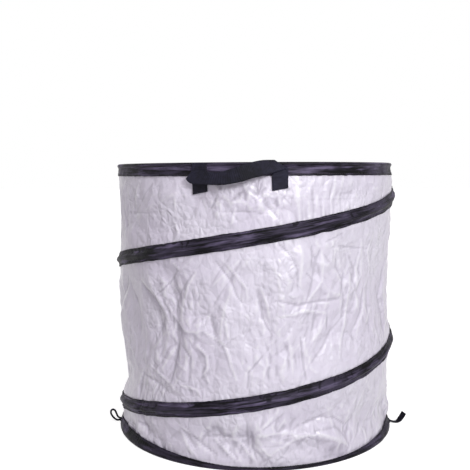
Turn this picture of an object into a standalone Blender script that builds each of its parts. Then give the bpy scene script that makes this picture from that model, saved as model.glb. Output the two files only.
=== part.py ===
"""A pop-up leaf bag: a drum of woven sheet that a spiral of spring wire holds open.

Metres, +Z up. The origin is on the ground, under the middle of the base. The handles face -Y and +Y.
Turned pieces start at +X, and an azimuth is counted from the front handle, -Y, towards +X.
"""

import math

import bmesh
import bpy
from mathutils import Vector

# Overall form
BAG_HEIGHT = 0.484  # ground to the top of the rim
WALL_RADIUS = 0.2475  # outer face of the wall, over most of its height
FOOT_INSET = 0.0025  # how far the wall is drawn in where it meets the base
FOOT_RISE = 0.040  # height in which the wall widens from the foot to its full radius
SEGMENTS = 48  # flats round the bag, the same for every turned piece

# Cloth, tape, webbing and the clearance between pieces that touch
SHEET = 0.001
TAPE = 0.0008
WEBBING = 0.0014
WEBBING_WIDTH = 0.025
GAP = 0.0003
MERGE = 0.00001  # distance at which the points of a seam are joined

# Spring wire and what holds its ends
WIRE = 0.003  # diameter
FERRULE_WALL = 0.0004
FERRULE_LENGTH = 0.022
END_CAP_DEPTH = 0.018  # length of wire inside an end cap
END_CAP_END = 0.0008  # thickness of its closed end
WIRE_SIDES = 8
SLEEVE_SIDES = 12

# Bindings and the spiral's casing
RIM_BAND = 0.021  # height of the binding on the rim
FLANGE_REACH = 0.0085  # how far the bottom binding stands out past the foot of the wall
UNDER_BAND = 0.0135  # width of the bottom binding where it lies under the base
UNDER_STEP = 0.002  # width in which the base steps down inside the bottom binding
SPIRAL_START_STEP = -15  # the casing's lower end, in flats of the drum from the front handle
SPIRAL_END_STEP = 63  # its upper end, in the same flats
SPIRAL_FOOT_GAP = 0.00455  # bottom binding to the casing's lower end
SPIRAL_HEAD_GAP = 0.00435  # casing's upper end to the rim's binding
CASING_WIDTH = 0.025
CASING_FOOT_SHARE = 2.6  # half the width of the casing's arch, in wire pockets
SEAM_TAPE_WIDTH = 0.024

# Handles
HANDLE_SPAN = 0.124  # between the middles of the two tabs
HANDLE_BOW = 0.014  # how far the strap stands out between its tabs
HANDLE_DROP = 0.016  # top of the rim to the middle of the strap
TAB_LENGTH = 0.045  # top of the rim to the bottom of a tab
TAB_TUCK = 0.0015  # how far under the rim's bulge a tab turns in
BOW_POINTS = 9

# Closures, which tie the bag flat
CLOSURE_WEBBING = 0.0012
CLOSURE_WIDTH = 0.010
CLOSURE_TAB_OVERLAP = 0.0025  # how far a closure's tab lies over the bottom binding
CLOSURE_STRAP_AZIMUTH = 90.0
CLOSURE_STRAP_REACH = 0.024
CLOSURE_STRAP_RISE = 0.019
CLOSURE_STRAP_SHARES = ((0.14, 0.07), (0.42, 0.0), (0.58, 0.06), (0.81, 0.36), (0.97, 0.80), (1.0, 1.0))
CLOSURE_LOOP_AZIMUTH = -80.0
CLOSURE_CORD = 0.0026  # diameter
CLOSURE_LOOP_REACH = 0.0190
CLOSURE_LOOP_RISE = 0.0195
CLOSURE_LOOP_SHARES = (
    (0.0, 0.02), (0.33, -0.08), (0.60, 0.16), (1.0, 0.54), (1.0, 1.0),
    (0.55, 0.97), (0.39, 0.66), (0.27, 0.38), (0.17, 0.20),
)

# Worked out from the sizes above
OCTAGON_SHARE = math.tan(math.pi / 8)  # half a side of an octagon, in inner radii
SLEEVE_BORE = WIRE / 2 + GAP
SLEEVE_RADIUS = SLEEVE_BORE + FERRULE_WALL
POCKET = SLEEVE_RADIUS + GAP  # inner radius of the room that tape leaves round a wire
POCKET_SIDE = POCKET * OCTAGON_SHARE
FOOT_RADIUS = WALL_RADIUS - FOOT_INSET
WALL_MIDDLE = WALL_RADIUS - SHEET / 2
RING_MIDDLE = TAPE + POCKET  # height of the bottom ring
RING_OUTER = FOOT_RADIUS + FLANGE_REACH
RING_RADIUS = RING_OUTER - TAPE - POCKET
RING_TOP = RING_MIDDLE + POCKET + TAPE
SEAM_RADIUS = RING_RADIUS - POCKET  # edge of the base and of the wall's hem, inside the bottom binding
BASE_EDGE_HEIGHT = TAPE + GAP  # underside of the base, inside the bottom binding
HEM_TOP = BASE_EDGE_HEIGHT + SHEET + GAP + SHEET
LEG_HEIGHT = HEM_TOP + GAP  # inner face of the bottom binding's upper leg
RIM_MIDDLE = BAG_HEIGHT - TAPE - POCKET  # height of the top ring
RIM_SIDE = SHEET / 2 + GAP  # half the room between the legs of the rim's binding
RIM_NECK = RIM_MIDDLE - POCKET_SIDE - (POCKET - RIM_SIDE)
RIM_LOW = BAG_HEIGHT - RIM_BAND
RIM_OUTER = WALL_MIDDLE + POCKET + TAPE
WALL_TOP = RIM_MIDDLE - POCKET
SPIRAL_RADIUS = WALL_RADIUS + POCKET
STEP_ANGLE = 2 * math.pi / SEGMENTS
SPIRAL_START_HEIGHT = RING_TOP + SPIRAL_FOOT_GAP + CASING_WIDTH / 2
SPIRAL_END_HEIGHT = RIM_LOW - SPIRAL_HEAD_GAP - CASING_WIDTH / 2
CASING_STEPS = SPIRAL_END_STEP - SPIRAL_START_STEP
STEP_RISE = (SPIRAL_END_HEIGHT - SPIRAL_START_HEIGHT) / CASING_STEPS
TAB_RADIUS = RIM_OUTER + GAP + WEBBING / 2  # middle of a handle tab's webbing
STRAP_RADIUS = TAB_RADIUS + WEBBING + GAP  # middle of the strap, where it lies on a tab
STRAP_HEIGHT = BAG_HEIGHT - HANDLE_DROP
TAB_ANGLE = math.asin(HANDLE_SPAN / 2 / TAB_RADIUS)
HANDLE_AXIS_RADIUS = STRAP_RADIUS * math.cos(TAB_ANGLE)
HANDLE_AXIS_HEIGHT = BAG_HEIGHT + GAP
CLOSURE_TAB_OUTER = RING_OUTER + GAP + CLOSURE_WEBBING
CLOSURE_HEIGHT = RING_MIDDLE + CLOSURE_WEBBING / 2


def clear_scene():
    """Remove everything that the scene holds."""
    for thing in list(bpy.data.objects):
        bpy.data.objects.remove(thing, do_unlink=True)


def new_material(name, colour, roughness, metallic=0.0):
    """A Principled material of one colour."""
    look = bpy.data.materials.new(name)
    look.use_nodes = True
    shader = look.node_tree.nodes["Principled BSDF"]
    shader.inputs["Base Color"].default_value = (*colour, 1.0)
    shader.inputs["Roughness"].default_value = roughness
    shader.inputs["Metallic"].default_value = metallic
    return look


class Bench:
    """The collection that holds the pieces, and their materials."""

    def __init__(self, name):
        self.collection = bpy.data.collections.new(name)
        bpy.context.scene.collection.children.link(self.collection)
        self.looks = {
            "sheet": new_material("woven_sheet", (0.62, 0.61, 0.66), 0.45),
            "binding": new_material("binding_tape", (0.035, 0.032, 0.045), 0.55),
            "webbing": new_material("handle_webbing", (0.012, 0.012, 0.014), 0.7),
            "steel": new_material("spring_steel", (0.35, 0.35, 0.36), 0.35, 1.0),
            "plastic": new_material("end_cap_plastic", (0.02, 0.02, 0.02), 0.5),
        }

    def place(self, name, data, look=None, parent=None):
        """Link a new object, named as its piece, in its material and under its joint's empty."""
        piece = bpy.data.objects.new(name, data)
        self.collection.objects.link(piece)
        if look:
            data.materials.append(self.looks[look])
        if parent:
            piece.parent = parent
        return piece

    def joint(self, name, location, azimuth=90.0, parent=None):
        """An empty on a joint's axis, its X pointing away from the middle of the bag."""
        empty = self.place(name, None, parent=parent)
        empty.location = location
        empty.rotation_euler.z = math.radians(azimuth - 90.0)
        return empty


def run_of_edges(name, points, closed):
    """A mesh of edges through points given as (distance from the axis, height)."""
    shape = bmesh.new()
    corners = [shape.verts.new((out, 0, up)) for out, up in points]
    for near, far in zip(corners, corners[1:]):
        shape.edges.new((near, far))
    if closed:
        shape.edges.new((corners[-1], corners[0]))
    data = bpy.data.meshes.new(name)
    shape.to_mesh(data)
    shape.free()
    return data


def thicken(piece, thickness, offset):
    """Give an open surface its thickness, outward for an offset of 1 and inward for -1."""
    solid = piece.modifiers.new("thickness", "SOLIDIFY")
    solid.thickness = thickness
    solid.offset = offset
    solid.use_even_offset = True


def turned(bench, name, points, look, steps=SEGMENTS, count=None, rise=0.0, closed=False, parent=None):
    """Turn a profile about Z: all round, or count steps of it with a rise in each."""
    piece = bench.place(name, run_of_edges(name, points, closed), look, parent)
    screw = piece.modifiers.new("turn", "SCREW")
    turns = count if count else steps
    screw.angle = 2 * math.pi * turns / steps
    screw.steps = turns
    screw.render_steps = turns
    screw.screw_offset = rise * turns
    screw.use_merge_vertices = not count
    screw.merge_threshold = MERGE
    screw.use_smooth_shade = True
    return piece


def ribbon(bench, name, path, across, thickness, look, parent=None):
    """Draw an edge along a path to make a flat strip, and give it its thickness on both sides."""
    shape = bmesh.new()
    edge = shape.edges.new([shape.verts.new(path[0] + across * side) for side in (-0.5, 0.5)])
    for near, far in zip(path, path[1:]):
        grown = bmesh.ops.extrude_edge_only(shape, edges=[edge])["geom"]
        ends = [part for part in grown if isinstance(part, bmesh.types.BMVert)]
        bmesh.ops.translate(shape, verts=ends, vec=far - near)
        edge = next(e for e in ends[0].link_edges if e.other_vert(ends[0]) == ends[1])
    data = bpy.data.meshes.new(name)
    shape.to_mesh(data)
    shape.free()
    piece = bench.place(name, data, look, parent)
    thicken(piece, thickness, 0)
    return piece


def bent_wire(bench, name, points, diameter, look, cyclic=False, parent=None):
    """A round wire or cord through the points."""
    curve = bpy.data.curves.new(name, "CURVE")
    curve.dimensions = "3D"
    curve.bevel_depth = diameter / 2
    curve.bevel_resolution = 2
    curve.use_fill_caps = not cyclic
    spline = curve.splines.new("POLY")
    spline.points.add(len(points) - 1)
    for corner, place in zip(spline.points, points):
        corner.co = (*place, 1)
    spline.use_cyclic_u = cyclic
    return bench.place(name, curve, look, parent)


def ring_place(radius, azimuth_angle, height):
    """A point at an azimuth in radians, counted from the front towards +X."""
    return Vector((radius * math.sin(azimuth_angle), -radius * math.cos(azimuth_angle), height))


def spiral_place(step):
    """The spiral's wire at a whole number of steps from the front."""
    height = SPIRAL_START_HEIGHT + (step - SPIRAL_START_STEP) * STEP_RISE
    return ring_place(SPIRAL_RADIUS, step * STEP_ANGLE, height)


def make_cloth(bench):
    """The base, the wall with its turned-out hem, and the tape inside the wall's side seam."""
    step_outer = RING_OUTER - UNDER_BAND - 2 * GAP
    base = turned(
        bench, "base_panel",
        [(SEAM_RADIUS, BASE_EDGE_HEIGHT), (step_outer, BASE_EDGE_HEIGHT),
         (step_outer - UNDER_STEP, 0), (0, 0)],
        "sheet",
    )
    thicken(base, SHEET, -1)
    wall = turned(
        bench, "wall_panel",
        [(WALL_RADIUS, WALL_TOP), (WALL_RADIUS, HEM_TOP + FOOT_RISE),
         (FOOT_RADIUS, HEM_TOP), (SEAM_RADIUS, HEM_TOP)],
        "sheet",
    )
    thicken(wall, SHEET, -1)
    inward = SHEET + GAP + TAPE / 2
    flat_share = math.cos(STEP_ANGLE / 2)
    seam_path = [
        Vector(((FOOT_RADIUS - inward) * flat_share, 0, HEM_TOP + TAPE)),
        Vector(((WALL_RADIUS - inward) * flat_share, 0, HEM_TOP + FOOT_RISE)),
        Vector(((WALL_RADIUS - inward) * flat_share, 0, RIM_LOW - GAP)),
    ]
    tape = ribbon(
        bench, "wall_seam_tape", seam_path, Vector((0, SEAM_TAPE_WIDTH, 0)), TAPE, "binding",
    )
    tape.rotation_euler.z = math.pi / 2 + STEP_ANGLE / 2


def make_sleeve(bench, name, near, far, profile, look, parent=None):
    """A turned sleeve on a straight stretch of wire, its top towards far."""
    sleeve = turned(bench, name, profile, look, steps=SLEEVE_SIDES, closed=True, parent=parent)
    sleeve.location = near
    sleeve.rotation_euler = (far - near).to_track_quat("Z", "Y").to_euler()
    return sleeve


def make_ring(bench, name, radius, height, parent=None):
    """A closed ring of spring wire, and the ferrule that joins its ends at the back."""
    bpy.ops.mesh.primitive_torus_add(
        major_segments=SEGMENTS, minor_segments=WIRE_SIDES, major_radius=radius, minor_radius=WIRE / 2,
        location=(0, 0, height),
    )
    ring = bpy.context.object
    ring.name = name
    for holder in list(ring.users_collection):
        holder.objects.unlink(ring)
    bench.collection.objects.link(ring)
    ring.data.materials.append(bench.looks["steel"])
    ring.data.shade_smooth()
    if parent:
        ring.parent = parent
    middle = ring_place(radius * math.cos(STEP_ANGLE / 2), math.pi + STEP_ANGLE / 2, height)
    along = ring_place(radius, math.pi + STEP_ANGLE, height)
    half = FERRULE_LENGTH / 2
    tube = [(SLEEVE_RADIUS, half), (SLEEVE_RADIUS, -half), (SLEEVE_BORE, -half), (SLEEVE_BORE, half)]
    make_sleeve(bench, name.replace("wire_ring", "ring_ferrule"), middle, along, tube, "steel", parent)


def make_bottom_binding(bench):
    """Tape folded round the outer edge of the base, with the bottom ring in its fold."""
    fold = [
        (FOOT_RADIUS + 2 * GAP, LEG_HEIGHT),
        (RING_RADIUS - POCKET_SIDE - (RING_MIDDLE + POCKET - LEG_HEIGHT), LEG_HEIGHT),
        (RING_RADIUS - POCKET_SIDE, RING_MIDDLE + POCKET),
        (RING_RADIUS + POCKET_SIDE, RING_MIDDLE + POCKET),
        (RING_RADIUS + POCKET, RING_MIDDLE + POCKET_SIDE),
        (RING_RADIUS + POCKET, RING_MIDDLE - POCKET_SIDE),
        (RING_RADIUS + POCKET_SIDE, TAPE),
        (RING_OUTER - UNDER_BAND, TAPE),
    ]
    binding = turned(bench, "bottom_binding", fold, "binding")
    thicken(binding, TAPE, 1)


def make_rim_binding(bench, rim):
    """Tape folded over the top edge of the wall, with the top ring in its fold."""
    inner = [
        (-RIM_SIDE, RIM_LOW),
        (-RIM_SIDE, RIM_NECK),
        (-POCKET, RIM_MIDDLE - POCKET_SIDE),
        (-POCKET, RIM_MIDDLE + POCKET_SIDE),
        (-POCKET_SIDE, RIM_MIDDLE + POCKET),
    ]
    outer = [(-out, up) for out, up in reversed(inner)]
    fold = [(WALL_MIDDLE + out, up) for out, up in inner + outer]
    binding = turned(bench, "rim_binding", fold, "binding", parent=rim)
    thicken(binding, TAPE, 1)


def make_spiral(bench, rim):
    """The spiral of wire, the taped casing that holds it to the wall, and a cap on each end."""
    points = [spiral_place(step) for step in range(SPIRAL_START_STEP + 1, SPIRAL_END_STEP)]
    bent_wire(bench, "spiral_wire", points, WIRE, "steel")
    foot = POCKET * CASING_FOOT_SHARE
    arch = [
        (WALL_RADIUS + GAP, CASING_WIDTH / 2),
        (WALL_RADIUS + GAP, foot),
        (SPIRAL_RADIUS + POCKET, POCKET_SIDE),
    ]
    arch += [(out, -up) for out, up in reversed(arch)]
    casing = turned(bench, "spiral_casing", arch, "binding", count=CASING_STEPS, rise=STEP_RISE)
    casing.location.z = SPIRAL_START_HEIGHT
    casing.rotation_euler.z = SPIRAL_START_STEP * STEP_ANGLE - math.pi / 2
    thicken(casing, TAPE, 1)
    cap = [
        (0, GAP + END_CAP_END), (SLEEVE_RADIUS, GAP + END_CAP_END), (SLEEVE_RADIUS, -END_CAP_DEPTH),
        (SLEEVE_BORE, -END_CAP_DEPTH), (SLEEVE_BORE, GAP), (0, GAP),
    ]
    lower, upper = points[0], points[-1]
    make_sleeve(bench, "spiral_lower_end_cap", lower, 2 * lower - points[1], cap, "plastic")
    make_sleeve(bench, "spiral_upper_end_cap", upper, 2 * upper - points[-2], cap, "plastic", rim)


def strap_path():
    """The strap's middle line seen from above, with +X away from the bag and Y along the wall."""
    half = WEBBING_WIDTH / 2
    near = Vector((STRAP_RADIUS, -half, 0))
    far = Vector((STRAP_RADIUS, half, 0))
    free_angle = TAB_ANGLE - math.atan2(half, STRAP_RADIUS)
    right = [_turn(near, TAB_ANGLE), _turn(far, TAB_ANGLE)]
    bowed = []
    for index in range(1, BOW_POINTS):
        share = 2 * index / BOW_POINTS - 1
        out = near.length + HANDLE_BOW * math.cos(math.pi / 2 * share) ** 2
        bowed.append(_turn(Vector((out, 0, 0)), share * free_angle))
    left = [_turn(near, -TAB_ANGLE), _turn(far, -TAB_ANGLE)]
    return left + bowed + right


def _turn(place, angle):
    """Turn a point about the axis of the bag."""
    cos, sin = math.cos(angle), math.sin(angle)
    return Vector((place.x * cos - place.y * sin, place.x * sin + place.y * cos, place.z))


def make_handle(bench, side, azimuth, rim):
    """A webbing strap that swings on two tabs sewn over the rim's binding."""
    skirt = WALL_MIDDLE + RIM_SIDE + TAPE + GAP + WEBBING / 2
    turn_in = RIM_MIDDLE - POCKET_SIDE - TAB_TUCK
    tab_path = [
        Vector((TAB_RADIUS, 0, RIM_MIDDLE + POCKET_SIDE)),
        Vector((TAB_RADIUS, 0, turn_in)),
        Vector((skirt, 0, turn_in - (TAB_RADIUS - skirt) - TAPE)),
        Vector((skirt, 0, BAG_HEIGHT - TAB_LENGTH)),
    ]
    for hand, turn in (("left", -1), ("right", 1)):
        tab = ribbon(
            bench, f"{side}_handle_{hand}_tab", tab_path, Vector((0, WEBBING_WIDTH, 0)), WEBBING,
            "webbing", rim,
        )
        tab.rotation_euler.z = math.radians(azimuth - 90.0) + turn * TAB_ANGLE
    axis_place = ring_place(HANDLE_AXIS_RADIUS, math.radians(azimuth), HANDLE_AXIS_HEIGHT)
    hinge = bench.joint(f"{side}_handle_joint", axis_place, azimuth, rim)
    middle = Vector((-HANDLE_AXIS_RADIUS, 0, STRAP_HEIGHT - HANDLE_AXIS_HEIGHT))
    path = [place + middle for place in strap_path()]
    ribbon(
        bench, f"{side}_handle_strap", path, Vector((0, 0, WEBBING_WIDTH)), WEBBING, "webbing", hinge,
    )


def make_closure_tab(bench, name, azimuth):
    """A short piece of webbing sewn over the outside of the bottom binding."""
    clear = POCKET + TAPE + GAP + CLOSURE_WEBBING / 2
    side = clear * OCTAGON_SHARE
    path = [
        Vector((RING_RADIUS - CLOSURE_TAB_OVERLAP, 0, RING_MIDDLE + clear)),
        Vector((RING_RADIUS + side, 0, RING_MIDDLE + clear)),
        Vector((RING_RADIUS + clear, 0, RING_MIDDLE + side)),
        Vector((RING_RADIUS + clear, 0, RING_MIDDLE - side)),
    ]
    tab = ribbon(bench, name, path, Vector((0, CLOSURE_WIDTH, 0)), CLOSURE_WEBBING, "webbing")
    tab.rotation_euler.z = math.radians(azimuth - 90.0)


def make_closures(bench):
    """The cord loop on the left of the bottom ring and the short strap on its right."""
    make_closure_tab(bench, "closure_strap_tab", CLOSURE_STRAP_AZIMUTH)
    root = CLOSURE_TAB_OUTER + GAP + CLOSURE_WEBBING / 2
    place = ring_place(root, math.radians(CLOSURE_STRAP_AZIMUTH), CLOSURE_HEIGHT)
    hinge = bench.joint("closure_strap_joint", place, CLOSURE_STRAP_AZIMUTH)
    lying = CLOSURE_WEBBING / 2 + GAP - CLOSURE_HEIGHT
    path = [Vector((0, 0, 0))]
    for out, up in CLOSURE_STRAP_SHARES:
        path.append(Vector((out * CLOSURE_STRAP_REACH, 0, lying + up * CLOSURE_STRAP_RISE)))
    ribbon(
        bench, "closure_strap", path, Vector((0, CLOSURE_WIDTH, 0)), CLOSURE_WEBBING, "webbing", hinge,
    )
    make_closure_tab(bench, "closure_loop_tab", CLOSURE_LOOP_AZIMUTH)
    root = CLOSURE_TAB_OUTER + GAP + CLOSURE_CORD / 2
    place = ring_place(root, math.radians(CLOSURE_LOOP_AZIMUTH), CLOSURE_HEIGHT)
    hinge = bench.joint("closure_loop_joint", place, CLOSURE_LOOP_AZIMUTH)
    eye = [(out * CLOSURE_LOOP_REACH, 0, up * CLOSURE_LOOP_RISE) for out, up in CLOSURE_LOOP_SHARES]
    bent_wire(bench, "closure_loop", eye, CLOSURE_CORD, "webbing", cyclic=True, parent=hinge)


def main():
    """Build the bag, each piece its own object and each moving piece under its joint's empty."""
    clear_scene()
    bench = Bench("pop_up_leaf_bag")
    rim = bench.joint("rim_joint", (0, 0, 0))
    make_cloth(bench)
    make_ring(bench, "bottom_wire_ring", RING_RADIUS, RING_MIDDLE)
    make_bottom_binding(bench)
    make_ring(bench, "top_wire_ring", WALL_MIDDLE, RIM_MIDDLE, rim)
    make_rim_binding(bench, rim)
    make_spiral(bench, rim)
    make_handle(bench, "front", 0.0, rim)
    make_handle(bench, "back", 180.0, rim)
    make_closures(bench)


main()
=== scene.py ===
"""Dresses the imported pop-up leaf bag: woven sheet, binding tape, webbing handles, closures and stage.

Metres, +Z up, in the frame of the CAD model. An azimuth is counted from the front handle, -Y,
towards +X. The cloth is laid by functions of azimuth and height, so that what is sewn to the wall
follows every fold of it.
"""

import functools
import math

import bpy
import numpy as np
from mathutils import Matrix, Vector
from mathutils.geometry import delaunay_2d_cdt


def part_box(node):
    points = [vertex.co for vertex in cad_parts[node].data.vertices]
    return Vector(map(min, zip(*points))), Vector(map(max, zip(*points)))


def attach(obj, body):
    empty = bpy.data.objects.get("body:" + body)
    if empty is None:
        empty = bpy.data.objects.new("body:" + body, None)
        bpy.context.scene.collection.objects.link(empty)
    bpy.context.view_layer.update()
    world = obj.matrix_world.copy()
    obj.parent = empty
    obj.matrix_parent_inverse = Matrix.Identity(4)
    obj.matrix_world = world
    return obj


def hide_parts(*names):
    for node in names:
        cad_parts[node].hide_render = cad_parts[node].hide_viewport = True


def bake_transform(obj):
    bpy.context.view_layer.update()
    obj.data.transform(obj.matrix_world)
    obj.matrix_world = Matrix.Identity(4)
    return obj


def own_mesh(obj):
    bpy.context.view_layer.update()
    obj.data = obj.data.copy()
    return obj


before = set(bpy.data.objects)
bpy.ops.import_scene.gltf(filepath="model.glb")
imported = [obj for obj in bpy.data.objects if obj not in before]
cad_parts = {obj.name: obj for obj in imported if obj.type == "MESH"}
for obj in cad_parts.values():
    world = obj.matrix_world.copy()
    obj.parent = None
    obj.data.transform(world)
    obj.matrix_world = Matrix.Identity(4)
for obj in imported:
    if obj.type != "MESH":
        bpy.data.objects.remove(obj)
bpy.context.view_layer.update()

bl_info = {
    "name": "Pop-up leaf bag",
    "version": (1, 0, 0),
    "blender": (4, 5, 0),
    "location": "View3D > Sidebar > Leaf bag",
    "description": "Builds the cloth, tapes, handles and closures of a pop-up leaf bag round its frame",
    "category": "Add Mesh",
}

# Sizes in metres and azimuths in degrees, most of them those of the CAD model
BAG_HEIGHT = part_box("rim_binding")[1].z
RIM_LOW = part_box("rim_binding")[0].z  # lower edge of the rim's binding
WALL_RADIUS = 0.2470  # middle of the wall's sheet
WALL_TOP = 0.4782
FOOT_RADIUS = 0.2445  # middle of the sheet at the wall's foot
FOOT_HEIGHT = 0.0034
FOOT_RISE = 0.040  # height in which the wall draws in to its foot
HEM_RADIUS = 0.2474  # edge of the turned-out hem, inside the bottom binding
BASE_REACH = 0.2472  # edge of the base, inside the bottom binding
BASE_CUT = 0.494  # side of the square that the base is cut from
TAPE = 0.0008  # thickness of the tapes
TAPE_GAP = 0.0005  # between a tape and the wall behind it
WIRE_RADIUS = 0.0015
RING_RADIUS = 0.2502
RING_ROLL = 0.0033  # outside of the tape, from the middle of a ring
BOTTOM_RING_HEIGHT = 0.0033
RIM_RING_HEIGHT = BAG_HEIGHT - RING_ROLL
UNDER_RADIUS = 0.2400  # inner edge of the bottom binding
UNDER_HEIGHT = 0.0001  # its underside, just clear of the floor
SPIRAL_RADIUS = 0.2500
SPIRAL_FRONT_HEIGHT = 0.1049  # the lower turn, where it passes the front handle
SPIRAL_PITCH = 0.2600
WIRE_START, WIRE_END = -105.0, 465.0  # azimuths of the wire's ends, one turn and more apart
CASING_START, CASING_END = -137.5, 495.5  # of the casing's ends, where it meets the bindings
CASING_WIDTH = 0.025
CASING_CROWN = 0.0062  # outside of the casing over the wire, from the wall
SEAM_AZIMUTH = 183.75
SEAM_START = math.radians(SEAM_AZIMUTH - 360)  # one cut edge of the wall's sheet, in radians
SEAM_TAPE_WIDTH = 0.024
WEBBING = 0.0014  # thickness of the handles' webbing
WEBBING_WIDTH = 0.025
HALF_STRAP = 0.076  # length of webbing in each half of a handle's strap
HANDLE_TAB = 0.046  # length of webbing in each of its tabs
TAB_RADIUS = 0.2513  # middle of a tab's webbing
TAB_AZIMUTH = 14.4  # of a tab's middle, from the middle of its handle
TAB_LIFT = 0.0009  # from the face of a tape to the middle of the webbing sewn over it
RIB_PITCH = 0.0027
RIB_DEPTH = 0.00024
CLOSURE_WEBBING = 0.0012  # thickness of the closures' webbing
CLOSURE_WIDTH = 0.010
CLOSURE_STRAP = 0.036  # length of its webbing
CLOSURE_TAB = 0.014
LOOP_AZIMUTH = -80.0
LOOP_ROOT = 0.2566
LOOP_CORD = 0.0036  # diameter
STRAP_AZIMUTH = 90.0
STRAP_ROOT = 0.2559
STITCH = 0.0027  # length of a stitch
THREAD = 0.00036  # radius of its thread
GIRTH = 2 * math.pi * WALL_RADIUS

# The wall's relief is worked out once, on a grid of this many azimuths and heights
RELIEF_COLUMNS = 1296
RELIEF_ROWS = 400
CRUMPLE_STEP = 0.0010  # grid of the crumpled cloth
BARE_SPAN = SPIRAL_PITCH - CASING_WIDTH  # bare cloth between two turns of the casing
UPPER_HEM = 0.428  # from here up the sheet is doubled
FRONT_CROWDING = 0.30  # how much closer the wall's columns lie at the front than on average

# Places where the wall is pushed in or out: azimuth, height, half width (degrees), half height, depth
DENTS = (
    (-76.0, 0.109, 24.0, 0.035, 0.0095),
    (-80.0, 0.230, 20.0, 0.050, -0.0062),
    (88.0, 0.268, 25.0, 0.045, 0.0014),
    (92.0, 0.200, 20.0, 0.024, 0.0045),
    (88.0, 0.060, 20.0, 0.035, 0.0030),
    (90.0, 0.234, 20.0, 0.032, 0.0038),
    (88.0, 0.376, 18.0, 0.022, -0.0038),
    (88.0, 0.108, 20.0, 0.026, 0.0036),
    (-82.0, 0.385, 18.0, 0.045, -0.0022),
    (-10.0, 0.235, 16.0, 0.070, -0.0030),
    (24.0, 0.300, 12.0, 0.060, -0.0025),
    (-34.0, 0.180, 12.0, 0.060, -0.0020),
    (-36.0, 0.070, 20.0, 0.022, -0.0030),
)

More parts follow.
